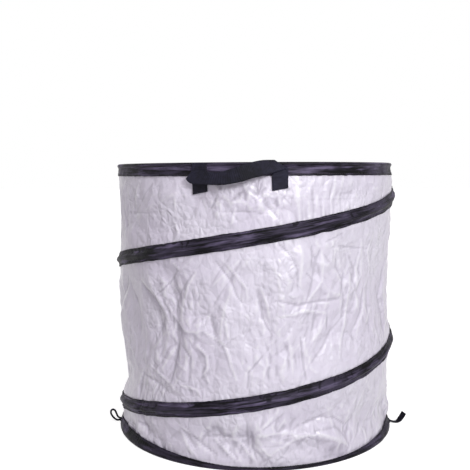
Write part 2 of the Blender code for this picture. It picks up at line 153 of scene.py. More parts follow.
# Folds traced on the front of the wall: height (below 0 for a furrow) and width in
# millimetres, then pixels of the 470 x 470 photograph along the fold
FOLDS = (
    (-1.7, 4.0, ((177, 272), (170, 281), (162, 290), (154, 297))),
    (1.7, 3.0, ((173.6, 262), (178, 267), (182, 272))),
    (1.9, 3.4, ((165, 291), (166.5, 304), (173.6, 315.5), (185.8, 330), (196.7, 332), (202.7, 330))),
    (1.4, 3.2, ((169.4, 308), (172.4, 333), (177.3, 346))),
    (-1.6, 3.0, ((177.3, 346), (173.6, 358), (171.2, 382))),
    (1.3, 2.6, ((178, 348), (180.3, 361.5))),
    (-1.8, 3.2, ((182, 346), (190.6, 357), (189.2, 370), (189.4, 382))),
    (1.9, 3.2, ((197.9, 345), (206.6, 355.5), (207.6, 367.6), (204.5, 374), (209.4, 383))),
    (1.9, 3.2, ((203.9, 331), (224.5, 344.5), (229.4, 358), (236.7, 379.7))),
    (1.5, 3.0, ((225.8, 321), (228.2, 340))),
    (1.5, 2.8, ((174.8, 361.5), (187, 370))),
    (1.8, 3.4, ((153, 367.6), (170, 383), (179.7, 393))),
    (-1.8, 3.6, ((140.9, 372.4), (154, 381), (167.6, 390.6))),
    (1.5, 3.0, ((181, 384.5), (196.7, 389.4), (199.7, 396))),
    (1.4, 3.0, ((126.5, 335), (133.6, 355.5), (138, 372))),
    (-1.6, 3.0, ((130.5, 290), (135.5, 306))),
    (-1.7, 3.4, ((216.1, 261), (230.6, 280.3), (237.3, 297.3), (242.7, 303.5))),
    (1.5, 3.2, ((224.5, 261), (237, 276), (246.4, 289), (247.6, 302))),
    (-2.6, 4.2, ((256.8, 291), (261, 309), (263, 320), (272.4, 335))),
    (2.2, 4.0, ((261, 288), (267, 305), (270, 318))),
    (-1.7, 3.0, ((262, 357), (249, 372), (247.6, 388))),
    (-1.5, 2.4, ((301.5, 338.5), (303.9, 365.2), (305.8, 378.5))),
    (-2.0, 3.6, ((276, 300.5), (297.9, 305), (317.3, 302), (343.9, 298))),
    (1.8, 4.5, ((279.7, 317), (307.6, 311), (329.4, 313.5))),
    (-1.5, 2.4, ((329.6, 312), (329.8, 330))),
    (1.7, 3.0, ((352, 280), (346.4, 326.4), (342.7, 338.5), (339.7, 357.9))),
    (1.6, 2.4, ((380.3, 324), (377.9, 347))),
    (-2.3, 3.6, ((251.8, 433), (253, 449), (256.7, 460))),
    (2.0, 4.0, ((253, 436), (270, 433.5), (288.2, 433.5), (299.1, 436))),
    (-1.6, 3.4, ((299.1, 426), (322.1, 417.3), (336.7, 418.5), (346.4, 424.5))),
    (-1.4, 2.6, ((315.5, 429.4), (319.7, 451.2))),
    (1.7, 2.8, ((179.7, 424.5), (190.6, 435.5))),
    (-1.6, 2.8, ((190.6, 436), (201.5, 446.4), (216.1, 456))),
    (1.8, 3.0, ((212.4, 440.3), (223.3, 450), (236.7, 462))),
    (1.6, 3.0, ((237.9, 442.7), (253.6, 460))),
    (-1.2, 2.4, ((201.5, 437.3), (226, 438), (250, 438))),
    (-1.8, 3.6, ((138.5, 419.7), (148.2, 427))),
    (1.4, 2.6, ((176.1, 198), (176.7, 209))),
    (1.7, 2.6, ((174.8, 222), (179.1, 234))),
    (-1.4, 2.6, ((216.1, 198), (211.2, 210))),
    (-2.0, 3.4, ((264, 203), (279.7, 219.7))),
    (1.8, 4.5, ((245.8, 188.2), (261.5, 202.7))),
    (-1.0, 2.0, ((130, 212.4), (157.9, 212.4))),
    (-0.9, 2.0, ((223, 211), (245, 211), (270, 213.6))),
    (-1.3, 3.2, ((279.7, 244), (290.6, 256), (296.7, 269.4), (297.9, 292))),
    (-1.2, 3.0, ((311.2, 245), (312.4, 268))),
    (-1.4, 2.6, ((306.4, 273), (313.6, 280.3))),
    (-1.3, 3.0, ((335.5, 246), (336.7, 267), (343.9, 280.3), (344.5, 294))),
    (-1.1, 2.4, ((324.5, 241.5), (342.7, 233))),
    (-1.0, 2.2, ((335.5, 245.8), (367, 248.2))),
    (1.5, 3.0, ((236, 208), (232, 224))),
    (1.4, 3.0, ((372, 232), (368, 252), (371, 270))),
    (1.5, 2.6, ((360, 255), (357, 285))),
    (-1.3, 2.8, ((366, 285), (363, 312))),
)
FOLD_STRENGTH = 1.5  # raises the heights of all of them
FOLD_RADIUS = 0.2460  # the drawn-in wall that the traced pixels show

# Long soft folds that wind up the wall: how many there are, and how they lean in radians per metre
SOFT_FOLDS = ((11, 16.0), (14, -21.0), (19, 9.0))

# The photograph's camera, in metres, radians and millimetres
PHOTO_SIZE = 470  # pixels
SENSOR = 36.0
LENS = 55.19
CAMERA_TURN = 5.2  # the azimuth that it stands at, in degrees
CAMERA_DISTANCE = 1.3469
CAMERA_HEIGHT = 0.4665
CAMERA_PITCH = 0.085
CAMERA_YAW = -0.0264
CAMERA_ROLL = -0.005

# Lamps: place, side of the square and colour
KEY_LAMP = ((1.02, -1.70, 1.22), 0.60, (1.0, 1.0, 1.0))
FILL_LAMP = ((-1.80, -1.40, 1.00), 0.90, (1.0, 0.88, 1.0))
TOP_LAMP = ((-0.15, -1.00, 1.90), 0.50, (1.0, 1.0, 1.0))
LAMP_AIM = 0.24  # height on the bag's axis that they look at
ROOM_COLOUR = (1.0, 0.92, 1.0, 1.0)
WHITE = (1.0, 1.0, 1.0, 1.0)


def camera_axes(yaw, pitch, roll):
    """Which way a camera looks, and its right and up, before it is turned round the bag."""
    ahead = Vector((math.sin(yaw) * math.cos(pitch), math.cos(yaw) * math.cos(pitch), -math.sin(pitch)))
    level = Vector((math.cos(yaw), -math.sin(yaw), 0))
    steep = level.cross(ahead)
    right = math.cos(roll) * level + math.sin(roll) * steep
    up = math.cos(roll) * steep - math.sin(roll) * level
    return ahead, right, up


def on_wall(x, y):
    """The azimuth in degrees and the height that a pixel of the photograph shows on the wall."""
    ahead, right, up = camera_axes(CAMERA_YAW, CAMERA_PITCH, CAMERA_ROLL)
    middle = PHOTO_SIZE / 2
    ray = ahead * (LENS / SENSOR * PHOTO_SIZE) + right * (x - middle) - up * (y - middle)
    level = ray.x**2 + ray.y**2
    nearest = CAMERA_DISTANCE * ray.y
    far = math.sqrt(nearest**2 - level * (CAMERA_DISTANCE**2 - FOLD_RADIUS**2))
    place = Vector((0, -CAMERA_DISTANCE, CAMERA_HEIGHT)) + ray * ((nearest - far) / level)
    return math.degrees(math.atan2(place.x, -place.y)) + CAMERA_TURN, place.z


def ring_points(radius, azimuth, height):
    """Points at azimuths in radians, counted from the front towards +X."""
    return np.stack([radius * np.sin(azimuth), -radius * np.cos(azimuth), height + 0 * azimuth], -1)


def degrees_from(middle, azimuth):
    """How far azimuths in radians lie from a middle in degrees, the short way round."""
    return (np.degrees(azimuth) - middle + 180) % 360 - 180


def smooth_step(low, high, value):
    """0 below low, 1 above high, and smooth between."""
    share = np.clip((value - low) / (high - low), 0, 1)
    return share * share * (3 - 2 * share)


def soft_noise(draw, azimuth, height, around, upward, count=12):
    """Smooth noise of unit size that closes round the drum, in waves round it and waves per metre."""
    total = np.zeros(np.broadcast(azimuth, height).shape)
    for _ in range(count):
        turns = int(draw.integers(around[0], around[1] + 1))
        rise = draw.uniform(-upward, upward)
        phase = draw.uniform(0, 2 * math.pi)
        total = total + np.sin(turns * azimuth + 2 * math.pi * rise * height + phase)
    return total * math.sqrt(2 / count)


class Crumple:
    """Cloth that was once folded small: flat triangles between random points, closed round the drum."""

    def __init__(self, seed, across, tall, depth):
        draw = np.random.default_rng(seed)
        columns = round(GIRTH / across)
        rows = math.ceil(BAG_HEIGHT / tall) + 4
        column, row = np.meshgrid(np.arange(columns), np.arange(rows))
        jitter = draw.uniform(-0.42, 0.42, (2, rows, columns))
        x = ((column + 0.5 * (row % 2) + jitter[0]) / columns * GIRTH).ravel()
        y = ((row - 2 + jitter[1]) * tall).ravel()
        z = np.clip(draw.normal(0, depth, rows * columns), -2 * depth, 2 * depth)
        stretch = across / tall
        margin = 4 * across
        low, high = x < margin, x > GIRTH - margin
        x = np.concatenate([x, x[low] + GIRTH, x[high] - GIRTH])
        y = np.concatenate([y, y[low], y[high]]) * stretch
        z = np.concatenate([z, z[low], z[high]])
        places = [Vector(pair) for pair in zip(x.tolist(), y.tolist())]
        corners, _, triangles, origins, _, _ = delaunay_2d_cdt(places, [], [], 0, 1e-7)
        level = np.array([z[origin[0]] for origin in origins])
        flat = np.array([tuple(corner) for corner in corners]) / (CRUMPLE_STEP, stretch * CRUMPLE_STEP)
        self.low = tall
        flat[:, 1] += self.low / CRUMPLE_STEP
        size = math.ceil((BAG_HEIGHT + 2 * tall) / CRUMPLE_STEP), round(GIRTH / CRUMPLE_STEP)
        self.grid = np.zeros(size)
        for triangle in triangles:
            self.lay(flat[triangle], level[triangle])

    def lay(self, corners, levels):
        """Lay one flat triangle on the grid."""
        lowest = np.maximum(np.floor(corners.min(0)).astype(int), 0)
        highest = np.minimum(np.ceil(corners.max(0)).astype(int) + 1, self.grid.shape[::-1])
        if (lowest >= highest).any():
            return
        x, y = np.arange(lowest[0], highest[0])[None], np.arange(lowest[1], highest[1])[:, None]
        (ax, ay), (bx, by), (cx, cy) = corners
        size = (bx - ax) * (cy - ay) - (cx - ax) * (by - ay)
        second = ((x - ax) * (cy - ay) - (y - ay) * (cx - ax)) / size
        third = ((y - ay) * (bx - ax) - (x - ax) * (by - ay)) / size
        inside = (second >= -1e-6) & (third >= -1e-6) & (second + third <= 1 + 1e-6)
        part = self.grid[lowest[1]:highest[1], lowest[0]:highest[0]]
        laid = levels[0] + second * (levels[1] - levels[0]) + third * (levels[2] - levels[0])
        part[inside] = laid[inside]

    def heights(self, azimuth, height, lean_x, lean_y):
        """The cloth's height at each azimuth and height, each place moved by lean_x and lean_y first."""
        rows, columns = self.grid.shape
        x = (azimuth / (2 * math.pi) * GIRTH + lean_x) / GIRTH % 1 * columns
        y = np.clip((height + lean_y + self.low) / CRUMPLE_STEP, 0, rows - 1.001)
        left, down = np.floor(x).astype(int), np.floor(y).astype(int)
        across, up = x - left, y - down
        left, right = left % columns, (left + 1) % columns
        lower = self.grid[down, left] * (1 - across) + self.grid[down, right] * across
        upper = self.grid[down + 1, left] * (1 - across) + self.grid[down + 1, right] * across
        return lower * (1 - up) + upper * up


def bare_cloth(azimuth, height):
    """Where each point lies between the sewn bands.

    Returns the edges of the bare cloth below and above it, and how far under a band it is: 0 on the
    bare cloth and at a band's edge, and 1 on the wire's line.
    """
    around = (azimuth + math.pi) % (2 * math.pi) - math.pi
    below = np.full(np.broadcast(azimuth, height).shape, FOOT_HEIGHT)
    above = np.full(below.shape, RIM_LOW)
    cover = smooth_step(RIM_LOW - 0.001, RIM_RING_HEIGHT - 0.004, height) + 0 * below
    for turn in (0, 1):
        middle = SPIRAL_FRONT_HEIGHT + SPIRAL_PITCH * (around / (2 * math.pi) + turn)
        low = np.clip(middle - CASING_WIDTH / 2, FOOT_HEIGHT, RIM_LOW)
        high = np.clip(middle + CASING_WIDTH / 2, FOOT_HEIGHT, RIM_LOW)
        below = np.where(high <= height, np.maximum(below, high), below)
        above = np.where(low >= height, np.minimum(above, low), above)
        cover = np.maximum(cover, 1 - np.abs(height - middle) / (CASING_WIDTH / 2))
    return below, above, np.clip(cover, 0, 1)


def fold_heights(azimuth, height, size, width, line):
    """A sharp fold along a line of azimuths and heights, fading at its ends."""
    x = degrees_from(0, azimuth)
    scale = GIRTH / 360
    best = np.full(x.shape, 1.0)
    along = np.zeros(x.shape)
    lengths = [math.hypot((b[0] - a[0]) * scale, b[1] - a[1]) for a, b in zip(line, line[1:])]
    total = sum(lengths)
    done = 0.0
    for start, end, length in zip(line, line[1:], lengths):
        run, rise = (end[0] - start[0]) * scale, end[1] - start[1]
        dx, dy = (x - start[0]) * scale, height - start[1]
        share = np.clip((dx * run + dy * rise) / length**2, 0, 1)
        gap = np.hypot(dx - share * run, dy - share * rise)
        nearer = gap < best
        along = np.where(nearer, (done + share * length) / total, along)
        best = np.where(nearer, gap, best)
        done += length
    fade = np.sin(math.pi * np.clip(0.08 + 0.84 * along, 0, 1)) ** 0.7
    return size * fade * np.exp(-best / width)


def drawn_in(draw, azimuth, height, sag, bounds, bare):
    """How far the cloth draws in between its bands, with the dents that are pushed into it."""
    below, above = bounds
    span = np.maximum(above - below, 1e-4)
    share = np.clip((height - below) / span, 0, 1)
    depth = sag * (1 + 0.30 * soft_noise(draw, azimuth, height, (1, 5), 1.0))
    relief = -depth * np.clip(span / BARE_SPAN, 0, 1) ** 1.4 * np.sin(math.pi * share) * (bare > 0)
    for middle, level, half_width, half_height, push in DENTS:
        turn = degrees_from(middle, azimuth)
        bump = np.exp(-((turn / half_width) ** 2) - ((height - level) / half_height) ** 2)
        relief -= push * bump * smooth_step(0.0, 0.03, bare)
    return relief


def soft_folds(draw, azimuth, height):
    """Rounded swells and long slanting folds, of about unit size."""
    relief = 0.55 * soft_noise(draw, azimuth, height, (4, 13), 5.0)
    for waves, rise in SOFT_FOLDS:
        swing = 1.8 * soft_noise(draw, azimuth, height, (2, 10), 7.0)
        phase = (waves * azimuth + rise * height + swing + draw.uniform(0, 6)) / (2 * math.pi)
        crest = 1 - np.abs(2 * (phase % 1) - 1)
        strength = smooth_step(0.1, 1.5, soft_noise(draw, azimuth, height, (3, 11), 8.0))
        relief += 0.6 * strength * (crest**2 - 0.33)
    return relief


def crumples(draw, azimuth, height, lean, free):
    """Creases of three sizes from being folded small, weaker beside a band, of about unit size."""
    lean_x, lean_y = lean
    big = Crumple(21, 0.034, 0.052, 1.0).heights(azimuth, height, lean_x, lean_y)
    relief = 0.9 * creased(big, 1, 8, 0.6) * (0.10 + 0.90 * free)
    middling = Crumple(22, 0.016, 0.023, 1.0).heights(azimuth, height, 1.5 * lean_y, lean_x)
    patch = 0.35 + 0.65 * smooth_step(-0.9, 0.9, soft_noise(draw, azimuth, height, (3, 12), 8.0))
    relief += 0.42 * patch * creased(middling, 1, 4, 0.5) * (0.25 + 0.75 * free)
    small = Crumple(23, 0.0085, 0.0125, 1.0).heights(azimuth, height, lean_x, 1.2 * lean_y)
    patch = smooth_step(-0.6, 1.0, soft_noise(draw, azimuth, height, (5, 16), 10.0))
    relief += 0.16 * patch * spread_out(small, 1) * (0.3 + 0.7 * free)
    return relief


def puckers(draw, azimuth, height, lean_x, bare, cover):
    """Short folds that start at a sewn band and fade on the bare cloth, of about unit size."""
    near = np.exp(-bare / 0.012) * (cover <= 0) + (1 - cover) * (cover > 0)
    wide = np.exp(-bare / 0.040) * (cover <= 0) + (1 - cover) * (cover > 0)
    short = soft_noise(draw, azimuth + 3.0 * lean_x, height, (50, 105), 9.0, 18)
    long = soft_noise(draw, azimuth + 6.0 * lean_x, height, (16, 46), 7.0, 18)
    here = smooth_step(-0.6, 1.2, soft_noise(draw, azimuth, height, (3, 16), 2.0))
    return 0.5 * near * (0.4 - np.abs(short)) + 0.8 * wide * here * (0.5 - np.abs(long))


def traced_folds(azimuth, height):
    """The folds of the FOLDS table, each worked out only on the part of the grid that it crosses."""
    relief = np.zeros(azimuth.shape)
    for size, width, pixels in FOLDS:
        line = [on_wall(x, y) for x, y in pixels]
        middle = sum(turn for turn, _ in line) / len(line)
        reach = max(abs(turn - middle) for turn, _ in line) + 5
        low, high = min(up for _, up in line) - 0.02, max(up for _, up in line) + 0.02
        rows = slice(*np.searchsorted(height[:, 0], (low, high)))
        columns = np.abs(degrees_from(middle, azimuth[0])) < reach
        relief[rows, columns] += fold_heights(
            azimuth[rows, columns], height[rows, columns], size * FOLD_STRENGTH / 1000, width / 1000, line
        )
    return relief


@functools.cache
def wall_relief(sag, folds, crumple, pucker):
    """How far the wall stands out from its plain drum, on a grid of azimuths and heights."""
    draw = np.random.default_rng(11)
    azimuth = np.arange(RELIEF_COLUMNS) * (2 * math.pi / RELIEF_COLUMNS)
    height = np.linspace(0, WALL_TOP, RELIEF_ROWS)
    azimuth, height = np.meshgrid(azimuth, height)
    *bounds, cover = bare_cloth(azimuth, height)
    from_band = np.minimum(height - bounds[0], bounds[1] - height)
    bare = np.where(cover > 0, 0, np.clip(from_band, 0, 1))
    free = smooth_step(0.0, 0.040, bare)

    relief = drawn_in(draw, azimuth, height, sag, bounds, bare)
    lean_x = 0.012 * soft_noise(draw, azimuth, height, (2, 9), 5.0)
    lean_y = 0.010 * soft_noise(draw, azimuth, height, (2, 9), 5.0)
    relief += folds * soft_folds(draw, azimuth, height) * free
    relief += crumple * crumples(draw, azimuth, height, (lean_x, lean_y), free)
    relief *= 1 + 0.7 * (1 - smooth_step(0.05, 0.10, height))
    relief += pucker * puckers(draw, azimuth, height, lean_x, bare, cover)
    relief += traced_folds(azimuth, height) * smooth_step(-0.002, 0.005, bare) * (cover <= 0)

    # The sheet is doubled along its top, and stands out furthest at the right
    doubled = height + 0.0012 * soft_noise(draw, azimuth, height, (3, 14), 1.0)
    relief += 0.0004 * smooth_step(UPPER_HEM, UPPER_HEM + 0.003, doubled)
    swell = 0.0014 + 0.0026 * np.exp(-((degrees_from(85, azimuth) / 55) ** 2))
    relief += swell * smooth_step(0.03, 0.20, height) * (1 - smooth_step(0.45, 0.475, height))
    foot = smooth_step(FOOT_HEIGHT, FOOT_HEIGHT + FOOT_RISE, height) - 1
    settled = smooth_step(0.0, 0.006, height - FOOT_HEIGHT) * (1 - smooth_step(0.466, 0.476, height))
    return (WALL_RADIUS - FOOT_RADIUS) * foot + relief * settled


def spread_out(grid, steps):
    """Soften a grid that closes round the drum by steps of averaging with its neighbours."""
    for _ in range(steps):
        grid = (np.roll(grid, 1, 1) + 2 * grid + np.roll(grid, -1, 1)) / 4
        padded = np.concatenate([grid[:1], grid, grid[-1:]])
        grid = (padded[:-2] + 2 * grid + padded[2:]) / 4
    return grid


def creased(grid, steps, wide_steps, overshoot):
    """A softened grid whose creases stand out from the cloth beside them, as pressed folds do."""
    soft = spread_out(grid, steps)
    return soft + overshoot * (soft - spread_out(soft, wide_steps))


def wall_at(azimuth, height):
    """The radius of the wall's sheet at azimuths in radians and at heights."""
    sizes = bpy.context.scene.leaf_bag_sizes
    grid = wall_relief(sizes.wall_sag, sizes.wall_folds, sizes.wall_crumple, sizes.wall_pucker)
    column = (azimuth / (2 * math.pi) % 1) * RELIEF_COLUMNS
    row = np.clip(height / WALL_TOP, 0, 1) * (RELIEF_ROWS - 1)
    left = np.floor(column).astype(int)
    low = np.minimum(np.floor(row).astype(int), RELIEF_ROWS - 2)
    across, up = column - left, row - low
    left, right = left % RELIEF_COLUMNS, (left + 1) % RELIEF_COLUMNS
    lower = grid[low, left] * (1 - across) + grid[low, right] * across
    upper = grid[low + 1, left] * (1 - across) + grid[low + 1, right] * across
    return WALL_RADIUS + lower * (1 - up) + upper * up


def deselect():
    """Leave nothing selected, so that an operator acts on its own piece alone."""
    if bpy.context.object and bpy.context.object.mode != "OBJECT":
        bpy.ops.object.mode_set(mode="OBJECT")
    bpy.ops.object.select_all(action="DESELECT")


def select_only(piece):
    """Select one piece and make it active."""
    deselect()
    piece.select_set(True)
    bpy.context.view_layer.objects.active = piece


def laid_cloth(name, columns, rows, place, cut, marks=None):
    """A grid whose points are laid by place(u, v), with a UV map in metres of the cut cloth.

    u and v run from 0 to 1. cut gives the cloth's width and length, or is a function of u and v that
    gives places on the flat cloth. Marks are more such functions, kept as attributes for the finish.
    """
    deselect()
    bpy.ops.mesh.primitive_grid_add(
        x_subdivisions=columns, y_subdivisions=rows, size=1, location=(0, 0, 0)
    )
    piece = bpy.context.object
    piece.name = name
    data = piece.data
    data.name = name
    flat = np.empty(len(data.vertices) * 3)
    data.vertices.foreach_get("co", flat)
    flat = flat.reshape(-1, 3)
    u, v = flat[:, 0] + 0.5, flat[:, 1] + 0.5
    data.vertices.foreach_set("co", place(u, v).ravel())
    corner = np.empty(len(data.loops), int)
    data.loops.foreach_get("vertex_index", corner)
    layer = data.uv_layers[0]
    layer.name = "cut"
    across, along = cut(u, v) if callable(cut) else (u * cut[0], v * cut[1])
    layer.uv.foreach_set("vector", np.stack([across[corner], along[corner]], -1).ravel())
    for mark, value in (marks or {}).items():
        data.attributes.new(mark, "FLOAT", "POINT").data.foreach_set("value", value(u, v))
    data.update()
    merge_seams(piece)
    data.shade_smooth()
    return piece


def merge_seams(piece):
    """Join the points where a piece meets itself."""
    select_only(piece)
    bpy.ops.object.mode_set(mode="EDIT")
    bpy.ops.mesh.select_all(action="SELECT")
    bpy.ops.mesh.remove_doubles(threshold=1e-6)
    bpy.ops.mesh.dissolve_degenerate(threshold=1e-7)
    bpy.ops.object.mode_set(mode="OBJECT")


def thicken(piece, thickness):
    """Give a laid cloth its thickness, inward."""
    solid = piece.modifiers.new("thickness", "SOLIDIFY")
    solid.thickness = thickness
    solid.offset = -1.0
    solid.use_even_offset = False
    select_only(piece)
    bpy.ops.object.modifier_apply(modifier=solid.name)


def finish_with(piece, look):
    """Give a piece its one material."""
    piece.data.materials.clear()
    piece.data.materials.append(look)


class Recipe:
    """The nodes of one material, added and joined from code."""

    def __init__(self, name):
        self.material = bpy.data.materials.new(name)
        self.material.use_nodes = True
        self.tree = self.material.node_tree
        self.shader = self.tree.nodes["Principled BSDF"]

    def node(self, kind, sockets=None, **settings):
        """Add a node, set it, and join or set its sockets by name or number."""
        made = self.tree.nodes.new(kind)
        for key, value in settings.items():
            setattr(made, key, value)
        for key, value in (sockets or {}).items():
            self.plug(made.inputs[key], value)
        return made

    def plug(self, socket, value):
        """Join an output to a socket, or set the socket's own value."""
        if isinstance(value, bpy.types.NodeSocket):
            self.tree.links.new(value, socket)
        else:
            socket.default_value = value

    def finish(self, **sockets):
        """Join or set the shader's sockets, their names written with underscores."""
        for key, value in sockets.items():
            self.plug(self.shader.inputs[key.replace("_", " ")], value)
        return self.material

    def maths(self, operation, first, second=0.0, third=0.0):
        """The result of one operation on up to three values."""
        made = self.node("ShaderNodeMath", {0: first, 1: second, 2: third}, operation=operation)
        return made.outputs[0]

    def cut(self):
        """The piece's UV map, in metres of cloth."""
        return self.node("ShaderNodeUVMap", uv_map="cut").outputs["UV"]

    def place(self):
        """Object coordinates, in metres."""
        return self.node("ShaderNodeTexCoord").outputs["Object"]

    def mark(self, name):
        """A mark kept on the piece's points."""
        return self.node("ShaderNodeAttribute", attribute_name=name).outputs["Fac"]

    def noise(self, vector, scale, detail=3.0, roughness=0.55, distortion=0.0):
        """Noise from 0 to 1, mostly near the middle, of scale lumps to a metre."""
        made = self.node(
            "ShaderNodeTexNoise",
            {"Vector": vector, "Scale": scale, "Detail": detail, "Roughness": roughness,
             "Distortion": distortion},
        )
        return made.outputs["Fac"]

    def stretched(self, vector, scale):
        """A vector with its three parts scaled on their own."""
        return self.node("ShaderNodeMapping", {"Vector": vector, "Scale": scale}).outputs["Vector"]

    def spread(self, value, low, high, to_low=0.0, to_high=1.0):
        """A value moved from one range to another, held at its ends."""
        made = self.node(
            "ShaderNodeMapRange", {0: value, 1: low, 2: high, 3: to_low, 4: to_high}, clamp=True
        )
        return made.outputs[0]

    def blend(self, share, first, second):
        """A colour between two others."""
        made = self.node("ShaderNodeMix", data_type="RGBA")
        self.plug(made.inputs[0], share)
        self.plug(made.inputs[6], first)
        self.plug(made.inputs[7], second)
        return made.outputs[2]

    def relief(self, height, distance, below=None):
        """A bump of the given height in metres, on top of another."""
        sockets = {"Height": height, "Distance": distance, "Strength": 1.0}
        if below is not None:
            sockets["Normal"] = below
        return self.node("ShaderNodeBump", sockets).outputs["Normal"]

    def facets(self, vector, scale):
        """Roof-like facets between random creases, from 0 at a crease."""
        made = self.node(
            "ShaderNodeTexVoronoi", {"Vector": vector, "Scale": scale, "Randomness": 1.0},
            feature="DISTANCE_TO_EDGE", voronoi_dimensions="2D",
        )
        return made.outputs["Distance"]

    def weave(self, vector, pitch_across, pitch_along):
        """The over and under of a plain weave, from 0 to 1."""
        parts = self.node("ShaderNodeSeparateXYZ", {0: vector})
        across = self.maths("SINE", self.maths("MULTIPLY", parts.outputs[0], math.pi / pitch_across))
        along = self.maths("SINE", self.maths("MULTIPLY", parts.outputs[1], math.pi / pitch_along))
        return self.maths("MULTIPLY_ADD", self.maths("MULTIPLY", across, along), 0.5, 0.5)


def colours():
    """The colours and finishes that a user may change."""
    return bpy.context.scene.leaf_bag_colours


def opaque(colour, share=1.0):
    """A colour for a shader's socket, made lighter or darker by a share."""
    return (*[part * share for part in colour[:3]], 1.0)


@functools.cache
def sheet_look():
    """Woven polyethylene sheet with a satin coat, creased from being folded flat, with a painted
    highlight on the crests of its creases and painted shade in their bottoms.
    """
    recipe = Recipe("woven_sheet_look")
    cut = recipe.cut()
    wide = recipe.noise(cut, 7.0, 3.0, 0.5)
    grain = recipe.noise(cut, 160.0, 4.0, 0.6)
    tone = recipe.maths("MULTIPLY_ADD", wide, 0.75, recipe.maths("MULTIPLY", grain, 0.25))
    base = colours().sheet
    light = (base[0] * 1.02, base[1] * 1.05, base[2])
    shade = recipe.blend(recipe.spread(tone, 0.36, 0.64), opaque(base, 0.93), opaque(light))
    # Painted highlight on the crests of the folds and painted shade in their bottoms, set by the fold
    # mark
    fold = recipe.mark("fold")
    shade = recipe.blend(recipe.spread(fold, 0.58, 1.0, 0.0, 0.40), shade, opaque((0.86, 0.86, 0.88)))
    shade = recipe.blend(recipe.spread(fold, 0.43, 0.0, 0.0, 0.60), shade, opaque(base, 0.58))
    drift = recipe.node("ShaderNodeTexNoise", {"Vector": cut, "Scale": 28.0}).outputs["Color"]
    drift = recipe.node("ShaderNodeVectorMath", {0: drift, 1: (0.016, 0.016, 0.0)}, operation="MULTIPLY")
    bent = recipe.node("ShaderNodeVectorMath", {0: cut, 1: drift.outputs[0]}, operation="ADD").outputs[0]
    patch = recipe.spread(recipe.noise(cut, 14.0, 2.0), 0.42, 0.60, 0.15, 1.0)
    wide_facets = recipe.facets(recipe.stretched(bent, (1.0, 0.7, 1.0)), 40.0)
    fine_facets = recipe.facets(recipe.stretched(bent, (1.0, 0.8, 1.0)), 105.0)
    fine_facets = recipe.maths("MULTIPLY", fine_facets, patch)
    ripple = recipe.noise(recipe.stretched(cut, (1.0, 0.55, 1.0)), 85.0, 4.0, 0.62, 0.6)
    weave = recipe.weave(cut, 0.0016, 0.0016)
    bump = recipe.relief(wide_facets, 0.0036)
    bump = recipe.relief(fine_facets, 0.0019, bump)
    bump = recipe.relief(ripple, 0.0012, bump)
    bump = recipe.relief(weave, 0.00006, bump)
    rough = recipe.spread(recipe.noise(cut, 30.0, 3.0), 0.3, 0.7, 0.34, 0.48)
    return recipe.finish(
        Base_Color=shade, Roughness=rough, Normal=bump, Specular_IOR_Level=0.62, Coat_Weight=0.45,
        Coat_Roughness=0.24,
    )


@functools.cache
def tape_look(name="binding_tape_look", lightness=1.0):
    """Charcoal polyester tape: a fine oxford weave in uneven patches, with painted glints of sheen, and
    painted shade where the edge mark is set.
    """
    recipe = Recipe(name)
    cut = recipe.cut()
    edge = recipe.mark("edge")
    base = opaque(colours().tape, lightness)
    streak = recipe.noise(recipe.stretched(cut, (22.0, 420.0, 1.0)), 1.0, 3.0, 0.6)
    cloud = recipe.noise(cut, 45.0, 3.0)
    patch = recipe.noise(recipe.stretched(cut, (11.0, 26.0, 1.0)), 1.0, 2.0, 0.6)
    tone = recipe.maths("MULTIPLY_ADD", streak, 0.50, recipe.maths("MULTIPLY", patch, 0.50))
    shade = recipe.blend(recipe.spread(tone, 0.45, 0.56), opaque(base, 0.10), opaque(base, 2.3))
    # Painted highlight: lengthwise glints of sheen, far lighter than the tape
    glint = recipe.noise(recipe.stretched(cut, (14.0, 120.0, 1.0)), 1.0, 3.0, 0.6)
    shade = recipe.blend(recipe.spread(glint, 0.52, 0.68, 0.0, 0.9), shade, opaque(base, 7.5))
    # Painted shade where the piece's edge mark is set, along its edges and in its folds
    shade = recipe.blend(recipe.spread(edge, 0.45, 1.0, 0.0, 0.85), shade, opaque(base, 0.25))
    weave = recipe.weave(cut, 0.0009, 0.0006)
    pucker = recipe.noise(recipe.stretched(cut, (210.0, 70.0, 1.0)), 1.0, 3.0, 0.55)
    bump = recipe.relief(pucker, 0.0006)
    bump = recipe.relief(streak, 0.0003, bump)
    bump = recipe.relief(weave, 0.00007, bump)
    rough = recipe.spread(cloud, 0.3, 0.7, 0.40, 0.58)
    return recipe.finish(Base_Color=shade, Roughness=rough, Normal=bump, Specular_IOR_Level=0.09)


@functools.cache
def webbing_look():
    """Black polypropylene webbing, its picks showing across the ribs, with painted shade in the furrows
    and slow patches of painted highlight and shade.
    """
    recipe = Recipe("handle_webbing_look")
    cut = recipe.cut()
    base = colours().webbing
    cloud = recipe.noise(cut, 120.0, 3.0)
    # Painted highlight and shade, in slow lighter and darker patches over the webbing
    painted_light_patches = recipe.noise(recipe.place(), 17.0, 1.0)
    tone = recipe.maths("MULTIPLY_ADD", painted_light_patches, 0.65, recipe.maths("MULTIPLY", cloud, 0.35))
    rib_furrow_shade = recipe.mark("rib_furrow_shade")
    shade = recipe.blend(recipe.spread(tone, 0.40, 0.60), opaque(base, 0.5), opaque(base, 2.1))
    # Painted shade in the furrows between the ribs
    shade = recipe.blend(recipe.spread(rib_furrow_shade, 0.55, 0.0, 0.0, 0.85), shade, opaque(base, 0.15))
    picks = recipe.weave(cut, 0.0011, 0.0021)
    fuzz = recipe.noise(cut, 1500.0, 2.0)
    bump = recipe.relief(picks, 0.00016)
    bump = recipe.relief(fuzz, 0.00005, bump)
    return recipe.finish(Base_Color=shade, Roughness=0.60, Normal=bump, Specular_IOR_Level=0.14)


